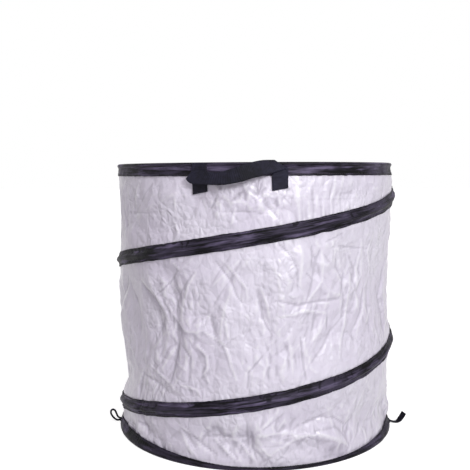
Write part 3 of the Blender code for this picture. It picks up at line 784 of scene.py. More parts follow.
@functools.cache
def cord_look():
    """Black braided cord, with painted shade in the grooves between its plaits."""
    recipe = Recipe("closure_cord_look")
    cut = recipe.cut()
    parts = recipe.node("ShaderNodeSeparateXYZ", {0: cut})
    slant = 2 * math.pi / 0.0026
    plaits = []
    for turned in ("ADD", "SUBTRACT"):
        along = recipe.maths(turned, parts.outputs[0], parts.outputs[1])
        plaits.append(recipe.maths("SINE", recipe.maths("MULTIPLY", along, slant)))
    braid = recipe.maths("MAXIMUM", *plaits)
    base = colours().webbing
    # Painted shade in the grooves between the plaits, lighter on their crests
    shade = recipe.blend(recipe.spread(braid, -0.4, 1.0), opaque(base, 0.5), opaque(base, 1.3))
    bump = recipe.relief(braid, 0.00015)
    return recipe.finish(Base_Color=shade, Roughness=0.6, Normal=bump, Specular_IOR_Level=0.14)


@functools.cache
def thread_look():
    """Twisted polyester sewing thread."""
    recipe = Recipe("sewing_thread_look")
    place = recipe.place()
    twist = recipe.noise(place, 1800.0, 2.0)
    base = colours().thread
    shade = recipe.blend(recipe.spread(twist, 0.3, 0.7), opaque(base, 0.6), opaque(base, 1.4))
    return recipe.finish(Base_Color=shade, Roughness=0.5, Normal=recipe.relief(twist, 0.0001))


@functools.cache
def steel_look():
    """Oil-tempered spring steel wire, drawn lengthwise."""
    recipe = Recipe("spring_steel_look")
    place = recipe.place()
    cloud = recipe.noise(place, 90.0, 4.0)
    scratch = recipe.noise(recipe.stretched(place, (60.0, 60.0, 2600.0)), 1.0, 2.0)
    base = colours().steel
    shade = recipe.blend(recipe.spread(cloud, 0.35, 0.7), opaque(base), opaque(base, 0.62))
    return recipe.finish(
        Base_Color=shade, Metallic=1.0, Roughness=recipe.spread(cloud, 0.3, 0.7, 0.26, 0.44),
        Normal=recipe.relief(scratch, 0.00005),
    )


@functools.cache
def plastic_look():
    """Black moulded polyethylene of the wire's end caps."""
    recipe = Recipe("end_cap_plastic_look")
    place = recipe.place()
    pores = recipe.noise(place, 900.0, 3.0)
    base = colours().webbing
    shade = recipe.blend(recipe.spread(pores, 0.3, 0.7), opaque(base), opaque(base, 1.6))
    return recipe.finish(Base_Color=shade, Roughness=0.48, Normal=recipe.relief(pores, 0.00004))


def crease_light_and_shade(u, v):
    """0 in the bottom of a fold and 1 on its crest, from how sharply the wall bends there; the sheet's
    finish paints shade where it is low and a highlight where it is high.
    """
    azimuth, height = wall_place(u, v)
    step = 0.0035  # metres of cloth to each side
    turn = step / WALL_RADIUS
    around = wall_at(azimuth - turn, height) + wall_at(azimuth + turn, height)
    upward = wall_at(azimuth, height - step) + wall_at(azimuth, height + step)
    bend = 4 * wall_at(azimuth, height) - around - upward
    return np.clip(0.5 + bend / 0.0026, 0, 1)


def wall_place(u, v):
    """The azimuth and the height of the wall's sheet; its cut edges meet at the side seam.

    The columns lie closer together at the front than at the back.
    """
    even = np.linspace(-1.5 * math.pi, 1.5 * math.pi, 3001)
    drawn = even - FRONT_CROWDING * np.sin(even)
    azimuth = np.interp(np.interp(SEAM_START, drawn, even) + 2 * math.pi * u, even, drawn)
    height = FOOT_HEIGHT + (WALL_TOP - FOOT_HEIGHT) * np.clip((v - 0.01) / 0.99, 0, 1)
    return azimuth, height


def wall_cut(u, v):
    """Where each point of the wall lies on the flat sheet."""
    azimuth, height = wall_place(u, v)
    return (azimuth - SEAM_START) * WALL_RADIUS, height


class LeafBagSizes(bpy.types.PropertyGroup):
    """Sizes of the cloth's own form. The frame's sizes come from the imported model."""

    wall_columns: bpy.props.IntProperty(
        name="Wall columns", description="Faces round the wall", default=576, min=64, max=640)
    wall_rows: bpy.props.IntProperty(
        name="Wall rows", description="Faces up the wall", default=166, min=16, max=170)
    wall_sag: bpy.props.FloatProperty(
        name="Sag", description="How far the cloth draws in halfway between two bands",
        default=0.0085, min=0.0, max=0.02, unit="LENGTH")
    wall_folds: bpy.props.FloatProperty(
        name="Folds", description="Height of the long soft folds", default=0.0024, min=0.0, max=0.008,
        unit="LENGTH")
    wall_crumple: bpy.props.FloatProperty(
        name="Crumple", description="Height of the flat facets left by folding", default=0.0036, min=0.0,
        max=0.006, unit="LENGTH")
    wall_pucker: bpy.props.FloatProperty(
        name="Pucker", description="Height of the short folds that start at a sewn band", default=0.0006,
        min=0.0, max=0.004, unit="LENGTH")
    tape_flutter: bpy.props.FloatProperty(
        name="Tape flutter", description="How far the edges of the tapes wander", default=0.0005, min=0.0,
        max=0.003, unit="LENGTH")
    stitch_pitch: bpy.props.FloatProperty(
        name="Stitch pitch", description="Distance between stitches", default=0.0042, min=0.002, max=0.02,
        unit="LENGTH")


class LeafBagColours(bpy.types.PropertyGroup):
    """Colours of the finishes."""

    sheet: bpy.props.FloatVectorProperty(
        name="Sheet", description="Colour of the woven sheet", subtype="COLOR", size=3, min=0, max=1,
        default=(0.640, 0.594, 0.712))
    tape: bpy.props.FloatVectorProperty(
        name="Tape", description="Colour of the binding tape", subtype="COLOR", size=3, min=0, max=1,
        default=(0.0176, 0.0146, 0.0245))
    webbing: bpy.props.FloatVectorProperty(
        name="Webbing", description="Colour of the handles and closures", subtype="COLOR", size=3, min=0,
        max=1, default=(0.0088, 0.0083, 0.0165))
    thread: bpy.props.FloatVectorProperty(
        name="Thread", description="Colour of the sewing thread", subtype="COLOR", size=3, min=0, max=1,
        default=(0.010, 0.009, 0.013))
    steel: bpy.props.FloatVectorProperty(
        name="Steel", description="Colour of the spring wire", subtype="COLOR", size=3, min=0, max=1,
        default=(0.42, 0.42, 0.43))


class LeafBagStage(bpy.types.PropertyGroup):
    """The camera, the lamps and the floor."""

    camera_turn: bpy.props.FloatProperty(
        name="Camera turn", description="Azimuth that the camera stands at",
        default=math.radians(CAMERA_TURN), subtype="ANGLE")
    camera_distance: bpy.props.FloatProperty(
        name="Camera distance", description="From the middle of the bag, level",
        default=CAMERA_DISTANCE, min=0.5, unit="LENGTH")
    camera_height: bpy.props.FloatProperty(
        name="Camera height", description="Above the floor",
        default=CAMERA_HEIGHT, min=0.05, unit="LENGTH")
    camera_pitch: bpy.props.FloatProperty(
        name="Camera pitch", description="How far it looks down", default=CAMERA_PITCH, subtype="ANGLE")
    camera_yaw: bpy.props.FloatProperty(
        name="Camera yaw", description="How far it looks to the right",
        default=CAMERA_YAW, subtype="ANGLE")
    camera_roll: bpy.props.FloatProperty(
        name="Camera roll", description="How far it leans", default=CAMERA_ROLL, subtype="ANGLE")
    lens: bpy.props.FloatProperty(
        name="Lens", description="Focal length in millimetres, on a 36 mm square", default=LENS, min=10)
    key_power: bpy.props.FloatProperty(
        name="Key lamp", description="Power of the large lamp at the upper right, in watts", default=32.0,
        min=0)
    fill_power: bpy.props.FloatProperty(
        name="Fill lamp", description="Power of the wide lamp at the left, in watts", default=3.6, min=0)
    top_power: bpy.props.FloatProperty(
        name="Top lamp", description="Power of the lamp above the front, in watts", default=8.0, min=0)
    sky: bpy.props.FloatProperty(
        name="Room light", description="Strength of the even light from all round", default=0.19, min=0)
    floor: bpy.props.FloatVectorProperty(
        name="Floor", description="Colour of the floor", subtype="COLOR", size=3, min=0, max=1,
        default=(0.66, 0.66, 0.66))


def squash_wall(piece):
    """Attach a piece on the wall to the base's body and give it a mesh of its own."""
    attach(piece, "base")
    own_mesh(piece)


class LEAF_BAG_OT_wall(bpy.types.Operator):
    """Lay the woven wall: drawn in between its bands, folded, crumpled and puckered"""

    bl_idname = "leaf_bag.wall"
    bl_label = "Wall"

    def execute(self, context):
        sizes = context.scene.leaf_bag_sizes

        def place(u, v):
            azimuth, height = wall_place(u, v)
            radius = wall_at(azimuth, height)
            hem = v < 0.005
            radius = np.where(hem, HEM_RADIUS, radius)
            return ring_points(radius, azimuth, np.where(hem, FOOT_HEIGHT - 0.0005, height))

        wall = laid_cloth(
            "woven_wall", sizes.wall_columns, sizes.wall_rows, place, wall_cut, {"fold": crease_light_and_shade}
        )
        finish_with(wall, sheet_look())
        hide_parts("wall_panel")
        squash_wall(wall)
        return {"FINISHED"}


class LEAF_BAG_OT_base(bpy.types.Operator):
    """Lay the round woven base, slack inside its ring"""

    bl_idname = "leaf_bag.base"
    bl_label = "Base"

    def execute(self, context):
        crumple = Crumple(31, 0.030, 0.036, 0.0005)
        draw = np.random.default_rng(32)

        def place(u, v):
            x, y = 2 * u - 1, 2 * v - 1
            x, y = x * np.sqrt(1 - y * y / 2), y * np.sqrt(1 - x * x / 2)
            slack = 1 - smooth_step(0.80, 0.95, np.hypot(x, y))
            x, y = x * BASE_REACH, y * BASE_REACH
            azimuth = (x + 0.5) / GIRTH * 2 * math.pi
            creases = crumple.heights(azimuth, y + 0.25, 0 * x, 0 * x)
            waves = 0.0006 * soft_noise(draw, azimuth, y, (8, 30), 8.0)
            height = 0.0014 + (creases + waves + 0.0006) * slack
            return np.stack([x, y, np.clip(height, 0.0008, 1)], -1)

        def level(u, v):
            return 0.5 + 0 * u

        base = laid_cloth("woven_base", 190, 190, place, (BASE_CUT, BASE_CUT), {"fold": level})
        finish_with(base, sheet_look())
        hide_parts("base_panel")
        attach(base, "base")
        return {"FINISHED"}


def profile_at(points, share):
    """Places along a line of points, at shares of its length, and that length."""
    points = np.array(points)
    steps = np.hypot(*np.diff(points, axis=0).T)
    along = np.concatenate([[0], np.cumsum(steps)]) / steps.sum()
    return np.interp(share, along, points[:, 0]), np.interp(share, along, points[:, 1]), steps.sum()


def roll_points(out, up, radius, start, end, count=15):
    """Points round a wire, as seen in section, between two angles in degrees."""
    angles = np.radians(np.linspace(start, end, count))
    return [(out + radius * math.cos(a), up + radius * math.sin(a)) for a in angles]


class LEAF_BAG_OT_rim_binding(bpy.types.Operator):
    """Fold tape over the top of the wall and its ring of wire"""

    bl_idname = "leaf_bag.rim_binding"
    bl_label = "Rim binding"

    def execute(self, context):
        flutter = context.scene.leaf_bag_sizes.tape_flutter
        leg = TAPE + TAPE_GAP
        neck = RIM_RING_HEIGHT - 0.0044
        outline = [(leg, RIM_LOW), (leg, neck)]
        outline += roll_points(0, RIM_RING_HEIGHT, RING_ROLL, -48, 228, 25)
        outline += [(-leg, neck), (-leg, RIM_LOW)]
        length = profile_at(outline, np.zeros(1))[2]

        def place(u, v):
            draw = np.random.default_rng(41)
            azimuth = 2 * math.pi * u + math.pi
            out, height, _ = profile_at(outline, v)
            side = np.sign(0.5 - v)
            low = 1 - smooth_step(0.0, 0.20, np.minimum(v, 1 - v))
            wander = soft_noise(draw, azimuth, 9 * v, (40, 120), 0.4, 16)
            height = height + flutter * 0.4 * low * wander
            slow = soft_noise(draw, azimuth, 9 * v, (6, 30), 0.3, 12)
            short = soft_noise(draw, azimuth, 9 * v, (60, 150), 1.2, 18)
            body = smooth_step(0.0, 0.012, RIM_RING_HEIGHT - height)
            swell = flutter * (0.35 * np.abs(short) + 0.30 * np.abs(slow)) * (0.25 + 0.75 * body)
            wall = wall_at(azimuth, np.minimum(height, WALL_TOP))
            return ring_points(wall + out + side * swell, azimuth, height)

        # Painted shade along both lower edges of the tape, where it meets the wall
        def edge(u, v):
            return 1 - np.clip(np.minimum(v, 1 - v) / 0.09, 0, 1)

        tape = laid_cloth("rim_tape", 720, 64, place, (GIRTH, length), {"edge": edge})
        thicken(tape, TAPE)
        finish_with(tape, tape_look())
        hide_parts("rim_binding")
        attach(tape, "rim")
        return {"FINISHED"}


def binding_climb(azimuth):
    """How far the bottom binding stands up against the wall: little in front, more at the sides."""
    turn = degrees_from(4, azimuth)
    back = smooth_step(100, 170, np.abs(turn))
    left = (0.0140 - 0.0015 * back) * smooth_step(0, 58, -turn)
    return np.maximum(left, 0.0125 * smooth_step(24, 90, turn)) * (1 - 0.25 * back)


class LEAF_BAG_OT_bottom_binding(bpy.types.Operator):
    """Fold tape round the edge of the base and its ring of wire, standing out as a flange"""

    bl_idname = "leaf_bag.bottom_binding"
    bl_label = "Bottom binding"

    def execute(self, context):
        flutter = context.scene.leaf_bag_sizes.tape_flutter
        top = BOTTOM_RING_HEIGHT + RING_ROLL
        outline = [(UNDER_RADIUS, UNDER_HEIGHT), (RING_RADIUS - 0.003, UNDER_HEIGHT)]
        outline += roll_points(RING_RADIUS, BOTTOM_RING_HEIGHT, RING_ROLL - 0.0002, -90, 62, 17)
        outline += [(RING_RADIUS - 0.0006, top - 0.0004), (RING_RADIUS - 0.0030, top - 0.0010),
                    (FOOT_RADIUS + 0.0013, 0.0046)]
        length = profile_at(outline, np.zeros(1))[2]

        def place(u, v):
            draw = np.random.default_rng(51)
            azimuth = 2 * math.pi * u + math.pi
            radius, height, _ = profile_at(outline, v)
            ribs = soft_noise(draw, azimuth, 6 * v, (150, 330), 0.7, 20)
            waves = soft_noise(draw, azimuth, 6 * v, (12, 60), 0.5, 14)
            shown = smooth_step(0.42, 0.62, v)
            edge_hold = 0.3 + 0.7 * (v < 0.97)
            height = height + flutter * (0.38 * ribs + 0.30 * waves) * shown * edge_hold
            radius = radius + flutter * 0.30 * (waves + 0.5 * ribs) * smooth_step(0.35, 0.55, v)
            climb = binding_climb(azimuth) * smooth_step(0.60, 1.0, v) ** 1.2
            height = height + climb
            leaning = wall_at(azimuth, height) + TAPE + 0.0006
            radius = np.where(v > 0.8, np.maximum(radius - 0.1 * climb, leaning), radius)
            return ring_points(radius, azimuth, np.maximum(height, UNDER_HEIGHT))

        # Painted shade in a band along the outside of the roll, where the flange starts to stand up
        def edge(u, v):
            return np.clip(1 - np.abs(v - 0.60) / 0.08, 0, 1) * 0.9

        tape = laid_cloth("bottom_tape", 960, 44, place, (GIRTH, length), {"edge": edge})
        thicken(tape, TAPE * 0.9)
        # Painted shade: a darker copy of the tape's finish for the bottom binding, low down by the floor
        finish_with(tape, tape_look("shaded_tape_look", 0.65))
        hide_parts("bottom_binding")
        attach(tape, "base")
        return {"FINISHED"}


def casing_place(u, v):
    """The azimuth, the height and the distance from the wire's line, over the whole casing."""
    azimuth = np.radians(CASING_START + (CASING_END - CASING_START) * u)
    middle = SPIRAL_FRONT_HEIGHT + SPIRAL_PITCH * azimuth / (2 * math.pi)
    draw = np.random.default_rng(61)
    flutter = bpy.context.scene.leaf_bag_sizes.tape_flutter
    wander = flutter * (
        0.20 * soft_noise(draw, azimuth / 4, 0, (240, 620), 0, 20)
        + 0.45 * soft_noise(draw, azimuth / 4, 0, (30, 120), 0, 14)
    )
    wander_low = flutter * 0.5 * soft_noise(draw, azimuth / 4, 0, (50, 260), 0, 20)
    low = np.clip(middle - CASING_WIDTH / 2 + wander_low, 0.0050, RIM_LOW - 0.0002)
    high = np.clip(middle + CASING_WIDTH / 2 + wander, 0.0050, RIM_LOW - 0.0002)
    height = low + (high - low) * v
    return azimuth, height, height - middle


# Pinched folds seen on the casing's lower turn in front: azimuth, half width and slant in degrees,
# and how far up the tape's width each starts
NICKS = (
    (-2.6, 0.55, 3.0, 0.66), (-1.0, 0.45, -2.0, 0.70), (1.6, 0.40, 1.0, 0.74), (7.6, 0.50, -4.0, 0.66),
    (9.2, 0.55, 5.0, 0.60), (11.6, 0.50, 6.0, 0.56), (19.0, 0.45, -4.0, 0.68), (21.2, 0.45, 4.5, 0.62),
    (25.6, 0.35, 4.0, 0.70), (29.6, 0.55, 1.5, 0.46), (36.0, 0.50, 2.0, 0.58), (38.2, 0.40, -3.0, 0.72),
    (40.6, 0.45, 4.0, 0.66),
)
NICK_WIDENING = 1.5  # widens all of them


def casing_nicks(azimuth, v):
    """Short pinched folds that cross the upper half of the casing here and there, from 0 to 1."""
    draw = np.random.default_rng(63)
    lean = soft_noise(draw, azimuth / 4, v, (90, 260), 1.2, 12)
    pinch = soft_noise(draw, azimuth / 4 + 0.0035 * lean, v, (170, 380), 1.4, 16)
    patch = smooth_step(0.0, 0.9, soft_noise(draw, azimuth / 4, v, (24, 90), 0.4))
    nicks = smooth_step(0.35, 1.05, pinch) * patch
    bend = 0.35 * lean
    for middle, half, slant, low in NICKS:
        off = (np.degrees(azimuth) + bend - middle - slant * (v - 0.8)) / (half * NICK_WIDENING)
        nicks = np.maximum(nicks, np.exp(-off * off) * smooth_step(low, low + 0.12, v))
    return nicks


class LEAF_BAG_OT_casing(bpy.types.Operator):
    """Lay the taped casing of the spiral, bulged by the wire and puckered along both edges"""

    bl_idname = "leaf_bag.casing"
    bl_label = "Spiral casing"

    def execute(self, context):
        flutter = context.scene.leaf_bag_sizes.tape_flutter
        length = math.radians(CASING_END - CASING_START) * WALL_RADIUS * 1.014

        def place(u, v):
            draw = np.random.default_rng(62)
            azimuth, height, off = casing_place(u, v)
            degrees = np.degrees(azimuth)
            wired = smooth_step(WIRE_START - 14, WIRE_START, degrees)
            wired *= 1 - smooth_step(WIRE_END, WIRE_END + 14, degrees)
            line = 0.0012 * soft_noise(draw, azimuth / 4, 0, (10, 50), 0, 10)
            arch = np.exp(-(np.abs(off - 0.3 * line) / 0.0052) ** 2.6)
            crown = (CASING_CROWN - TAPE - 0.0004) * (0.15 + 0.85 * wired) * arch
            side = 1 - arch
            edge = smooth_step(0.30, 0.5, np.abs(v - 0.5))
            pleat = np.abs(soft_noise(draw, azimuth / 4, 40 * v / 9, (300, 700), 0.7, 22))
            long = soft_noise(draw, azimuth / 4, 100 * v / 9, (16, 90), 1.4, 22)
            swell = flutter * (0.75 * pleat * side + 0.75 * np.abs(long) * (0.35 + side) - 0.25 * edge)
            upper = smooth_step(0.55, 0.8, v) * (1 - smooth_step(0.92, 1.0, v))
            crown = crown * (1 - 0.75 * upper * casing_nicks(azimuth, v))
            wall = wall_at(azimuth, height)
            out = wall + TAPE + TAPE_GAP + np.maximum(crown + swell, 0)
            return ring_points(out, azimuth, height)

        # Painted shade along both hems of the casing, where they meet the wall, and in its pinched folds
        def hem_and_nick_shade(u, v):
            azimuth = casing_place(u, v)[0]
            hem = 1 - np.clip(np.minimum(v, 1 - v) / 0.13, 0, 1)
            return np.maximum(hem, casing_nicks(azimuth, v) * smooth_step(0.40, 0.55, v))

        tape = laid_cloth("spiral_tape", 1560, 26, place, (length, CASING_WIDTH), {"edge": hem_and_nick_shade})
        thicken(tape, TAPE)
        finish_with(tape, tape_look())
        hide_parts("spiral_casing")
        squash_wall(tape)
        return {"FINISHED"}


def wire_line(azimuth, height):
    """How far from the axis the spiral's wire runs, just outside the wall."""
    return np.maximum(wall_at(azimuth, height) + 0.0030, SPIRAL_RADIUS)


class LEAF_BAG_OT_spiral_wire(bpy.types.Operator):
    """Wind the spring wire of the spiral and put a cap on each of its ends"""

    bl_idname = "leaf_bag.spiral_wire"
    bl_label = "Spiral wire"

    def execute(self, context):
        def place(u, v):
            azimuth = np.radians(WIRE_START + (WIRE_END - WIRE_START) * u)
            middle = SPIRAL_FRONT_HEIGHT + SPIRAL_PITCH * azimuth / (2 * math.pi)
            turn = 2 * math.pi * v
            out = wire_line(azimuth, middle) + WIRE_RADIUS * np.cos(turn)
            return ring_points(out, azimuth, middle + WIRE_RADIUS * np.sin(turn))

        length = math.radians(WIRE_END - WIRE_START) * SPIRAL_RADIUS
        wire = laid_cloth("spiral_spring", 760, 12, place, (length, 2 * math.pi * WIRE_RADIUS))
        close_ends(wire)
        finish_with(wire, steel_look())
        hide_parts("spiral_wire")
        squash_wall(wire)
        for end in ("lower", "upper"):
            node = f"spiral_{end}_end_cap"
            cap = copy_of_node(node, f"{end}_wire_cap")
            finish_with(cap, plastic_look())
            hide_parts(node)
            if end == "lower":
                squash_wall(cap)
            else:
                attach(cap, "rim")
                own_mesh(cap)
        return {"FINISHED"}


def close_ends(piece):
    """Fill the open ends of a tube."""
    select_only(piece)
    bpy.ops.object.mode_set(mode="EDIT")
    bpy.ops.mesh.select_all(action="DESELECT")
    bpy.ops.mesh.select_mode(type="EDGE")
    bpy.ops.mesh.select_non_manifold(extend=False, use_boundary=True, use_wire=False,
                                     use_multi_face=False, use_non_contiguous=False, use_verts=False)
    bpy.ops.mesh.edge_face_add()
    bpy.ops.mesh.select_all(action="SELECT")
    bpy.ops.mesh.normals_make_consistent(inside=False)
    bpy.ops.object.mode_set(mode="OBJECT")


def copy_of_node(node, name):
    """A copy of a CAD node's mesh as a new piece, its loose triangles merged."""
    source = bpy.data.objects[node]
    piece = bpy.data.objects.new(name, source.data.copy())
    piece.data.name = name
    bpy.context.scene.collection.objects.link(piece)
    merge_seams(piece)
    bpy.ops.object.shade_smooth_by_angle(angle=math.radians(35))
    return piece


class LEAF_BAG_OT_seam_tape(bpy.types.Operator):
    """Lay the tape over the inside of the wall's side seam"""

    bl_idname = "leaf_bag.seam_tape"
    bl_label = "Seam tape"

    def execute(self, context):
        low, high = 0.0060, RIM_LOW + 0.004  # both ends lie inside the bindings

        def place(u, v):
            draw = np.random.default_rng(71)
            turn = (0.5 - u) * SEAM_TAPE_WIDTH / WALL_RADIUS
            height = low + (high - low) * v
            azimuth = math.radians(SEAM_AZIMUTH) + turn
            wander = soft_noise(draw, 0 * u, height, (1, 2), 60.0, 14) * np.sign(turn)
            azimuth = azimuth + 0.0004 / WALL_RADIUS * wander * (np.abs(u - 0.5) > 0.4)
            return ring_points(wall_at(azimuth, height) - 0.0007 - TAPE, azimuth, height)

        # Painted shade along both edges of the tape, where they meet the wall
        def edge(u, v):
            return 1 - np.clip(np.minimum(u, 1 - u) / 0.13, 0, 1)

        tape = laid_cloth("seam_tape", 14, 170, place, (SEAM_TAPE_WIDTH, high - low), {"edge": edge})
        thicken(tape, TAPE)
        finish_with(tape, tape_look())
        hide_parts("wall_seam_tape")
        squash_wall(tape)
        return {"FINISHED"}


def webbing_strip(name, lower, upper, cut, thickness, rows):
    """Webbing between a lower and an upper edge, each given as points along it.

    Its ribs run from edge to edge and stand out on both faces.
    """
    lower, upper = np.array(lower), np.array(upper)
    ribs = round(cut[0] / RIB_PITCH)
    columns = ribs * 5

    def edge_at(points, share):
        steps = np.linspace(0, 1, len(points))
        return np.stack([np.interp(share, steps, points[:, axis]) for axis in range(3)], -1)

    def place(u, v):
        near, far = edge_at(lower, u), edge_at(upper, u)
        ahead = edge_at(lower, np.minimum(u + 0.01, 1)) - edge_at(lower, np.maximum(u - 0.01, 0))
        outward = np.cross(ahead, far - near)
        outward /= np.maximum(np.linalg.norm(outward, axis=1, keepdims=True), 1e-9)
        point = near + (far - near) * v[:, None]
        selvedge = smooth_step(0.38, 0.5, np.abs(v - 0.5))
        ribbing = RIB_DEPTH * rib_wave(u, ribs) * (1 - 0.5 * selvedge)
        out = thickness / 2 + ribbing - 0.0001 * selvedge
        return point + outward * out[:, None]

    # 0 in a furrow and 1 on a rib, for the painted shade in the furrows
    def rib_furrow_shade(u, v):
        return 0.5 + 0.5 * rib_wave(u, ribs)

    piece = laid_cloth(name, columns, rows, place, cut, {"rib_furrow_shade": rib_furrow_shade})
    thicken(piece, thickness)
    return piece


def rib_wave(share, ribs):
    """Rounded ribs with a narrow furrow between them, from -1 to 1."""
    return 2 * np.abs(np.sin(math.pi * ribs * share)) ** 0.7 - 1


def smooth_line(stations, count):
    """Points on a smooth curve through stations, which are tuples of numbers."""
    stations = np.array(stations, float)
    before, after = 2 * stations[:1] - stations[1:2], 2 * stations[-1:] - stations[-2:-1]
    padded = np.concatenate([before, stations, after])
    share = np.linspace(0, len(stations) - 1, count)
    index = np.minimum(share.astype(int), len(stations) - 2)
    t = (share - index)[:, None]
    a, b, c, d = (padded[index + step] for step in range(4))
    bend = 2 * a - 5 * b + 4 * c - d
    return 0.5 * (2 * b + (c - a) * t + bend * t**2 + (3 * b - a - 3 * c + d) * t**3)


# The front strap's edges: azimuth from the middle of the handle, distance from the axis, height
STRAP_LOWER = (
    (-19.2, 0.2552, 0.4585), (-17.0, 0.2560, 0.4515), (-11.7, 0.2590, 0.4500), (-5.1, 0.2655, 0.4495),
    (0.9, 0.2675, 0.4540), (5.1, 0.2655, 0.4598), (8.0, 0.2620, 0.4628), (11.3, 0.2570, 0.4665),
    (16.6, 0.2535, 0.4740),
)
STRAP_UPPER = (
    (-17.0, 0.2530, 0.4712), (-14.0, 0.2532, 0.4715), (-10.0, 0.2555, 0.4692), (-5.1, 0.2600, 0.4702),
    (-0.8, 0.2625, 0.4758), (3.4, 0.2605, 0.4820), (6.2, 0.2580, 0.4852), (9.0, 0.2550, 0.4868),
    (12.4, 0.2530, 0.4868),
)
# Heights of each tab's bottom corners and top corners, left and right
TAB_CORNERS = {
    "left": ((0.4345, 0.4388), (0.4832, 0.4832)),
    "right": ((0.4399, 0.4440), (0.4836, 0.4752)),
}


def handle_points(stations, azimuth, count=120):
    """Stations of a handle as places, turned to the side that the handle is on."""
    line = smooth_line(stations, count)
    return ring_points(line[:, 1], np.radians(line[:, 0] + azimuth), line[:, 2])


class LEAF_BAG_OT_handles(bpy.types.Operator):
    """Fold the webbing of both handles: tabs sewn over the rim, and a slack strap between them"""

    bl_idname = "leaf_bag.handles"
    bl_label = "Handles"

    def execute(self, context):
        for side, azimuth in (("front", 0.0), ("back", 180.0)):
            self.make_straps(side, azimuth)
            for hand, turn in (("left", -1), ("right", 1)):
                self.make_tab(side, hand, azimuth + turn * TAB_AZIMUTH)
        return {"FINISHED"}

    def make_straps(self, side, azimuth):
        """The strap in two halves, each sewn down at its own end."""
        lower = handle_points(STRAP_LOWER, azimuth)
        upper = handle_points(STRAP_UPPER, azimuth)
        half = len(lower) // 2
        for hand, turn, part in (("left", -1, slice(0, half + 1)), ("right", 1, slice(half, None))):
            cut = (HALF_STRAP, WEBBING_WIDTH)
            strap = webbing_strip(f"{side}_strap_{hand}", lower[part], upper[part], cut, WEBBING, 12)
            finish_with(strap, webbing_look())
            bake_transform(strap)
            if hand == "left":
                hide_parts(f"{side}_handle_strap")

    def make_tab(self, side, hand, azimuth):
        """A tab over the outside of the rim's binding, cut off slanting where the strap folds away."""
        half = math.degrees(WEBBING_WIDTH / 2 / TAB_RADIUS)
        lines = []
        for edge, low, top in zip((-half, half), *TAB_CORNERS[hand]):
            height = np.linspace(low, top, 60)
            angle = np.full(60, math.radians(azimuth + edge))
            level = np.minimum(height, RIM_LOW)
            across = [angle + share * math.radians(edge) for share in (0, -0.5, -1, -1.5, -2)]
            wall = np.max([wall_at(turned, level) for turned in across], axis=0) + 0.0008
            over = smooth_step(RIM_LOW - 0.006, RIM_LOW + 0.001, height)
            bulge = smooth_step(RIM_LOW + 0.006, RIM_RING_HEIGHT - 0.001, height)
            radius = wall + TAPE_GAP + (TAPE + TAB_LIFT) * over
            radius = np.maximum(radius, (WALL_RADIUS + 0.0030) * over)
            radius = radius + (WALL_RADIUS + RING_ROLL + 0.0004 - radius) * bulge
            lines.append(ring_points(radius, angle, height))
        cut = (HANDLE_TAB, WEBBING_WIDTH)
        tab = webbing_strip(f"{side}_tab_{hand}", lines[1], lines[0], cut, WEBBING, 12)
        finish_with(tab, webbing_look())
        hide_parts(f"{side}_handle_{hand}_tab")
        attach(tab, "rim")


# The closure loop's route and the closure strap's middle line: distance out from the root, height,
# and the strap's twist in degrees
LOOP_LINE = (
    (-0.0022, 0.0034), (0.0022, 0.0026), (0.0062, 0.0034), (0.0098, 0.0064), (0.0130, 0.0100),
    (0.0153, 0.0140), (0.0160, 0.0182), (0.0148, 0.0216), (0.0117, 0.0230), (0.0087, 0.0216),
    (0.0068, 0.0184), (0.0054, 0.0148), (0.0040, 0.0112), (0.0018, 0.0080), (-0.0022, 0.0060),
)
STRAP_LINE = (
    (-0.0015, 0.0040, 0), (0.0030, 0.0026, 0), (0.0065, 0.0020, 0), (0.0100, 0.0022, 4),
    (0.0130, 0.0038, 20), (0.0160, 0.0064, 40), (0.0188, 0.0100, 52), (0.0212, 0.0138, 56),
    (0.0232, 0.0176, 54), (0.0246, 0.0206, 50),
)


def tube(name, points, radius, sides, columns):
    """A cord along points, its seam merged and its ends closed."""
    points = np.array(points)
    steps = np.concatenate([[0], np.cumsum(np.linalg.norm(np.diff(points, axis=0), axis=1))])
    length = steps[-1]

    def at(share):
        return np.stack([np.interp(share * length, steps, points[:, axis]) for axis in range(3)], -1)

    def place(u, v):
        ahead = at(np.minimum(u + 0.02, 1)) - at(np.maximum(u - 0.02, 0))
        ahead /= np.linalg.norm(ahead, axis=1, keepdims=True)
        across = np.cross(ahead, ring_points(1.0, np.radians(LOOP_AZIMUTH - 90) + 0 * u, 0))
        across /= np.linalg.norm(across, axis=1, keepdims=True)
        up = np.cross(ahead, across)
        turn = -2 * math.pi * v[:, None]
        return at(u) + radius * (np.cos(turn) * across + np.sin(turn) * up)

    piece = laid_cloth(name, columns, sides, place, (length, 2 * math.pi * radius))
    close_ends(piece)
    return piece, length


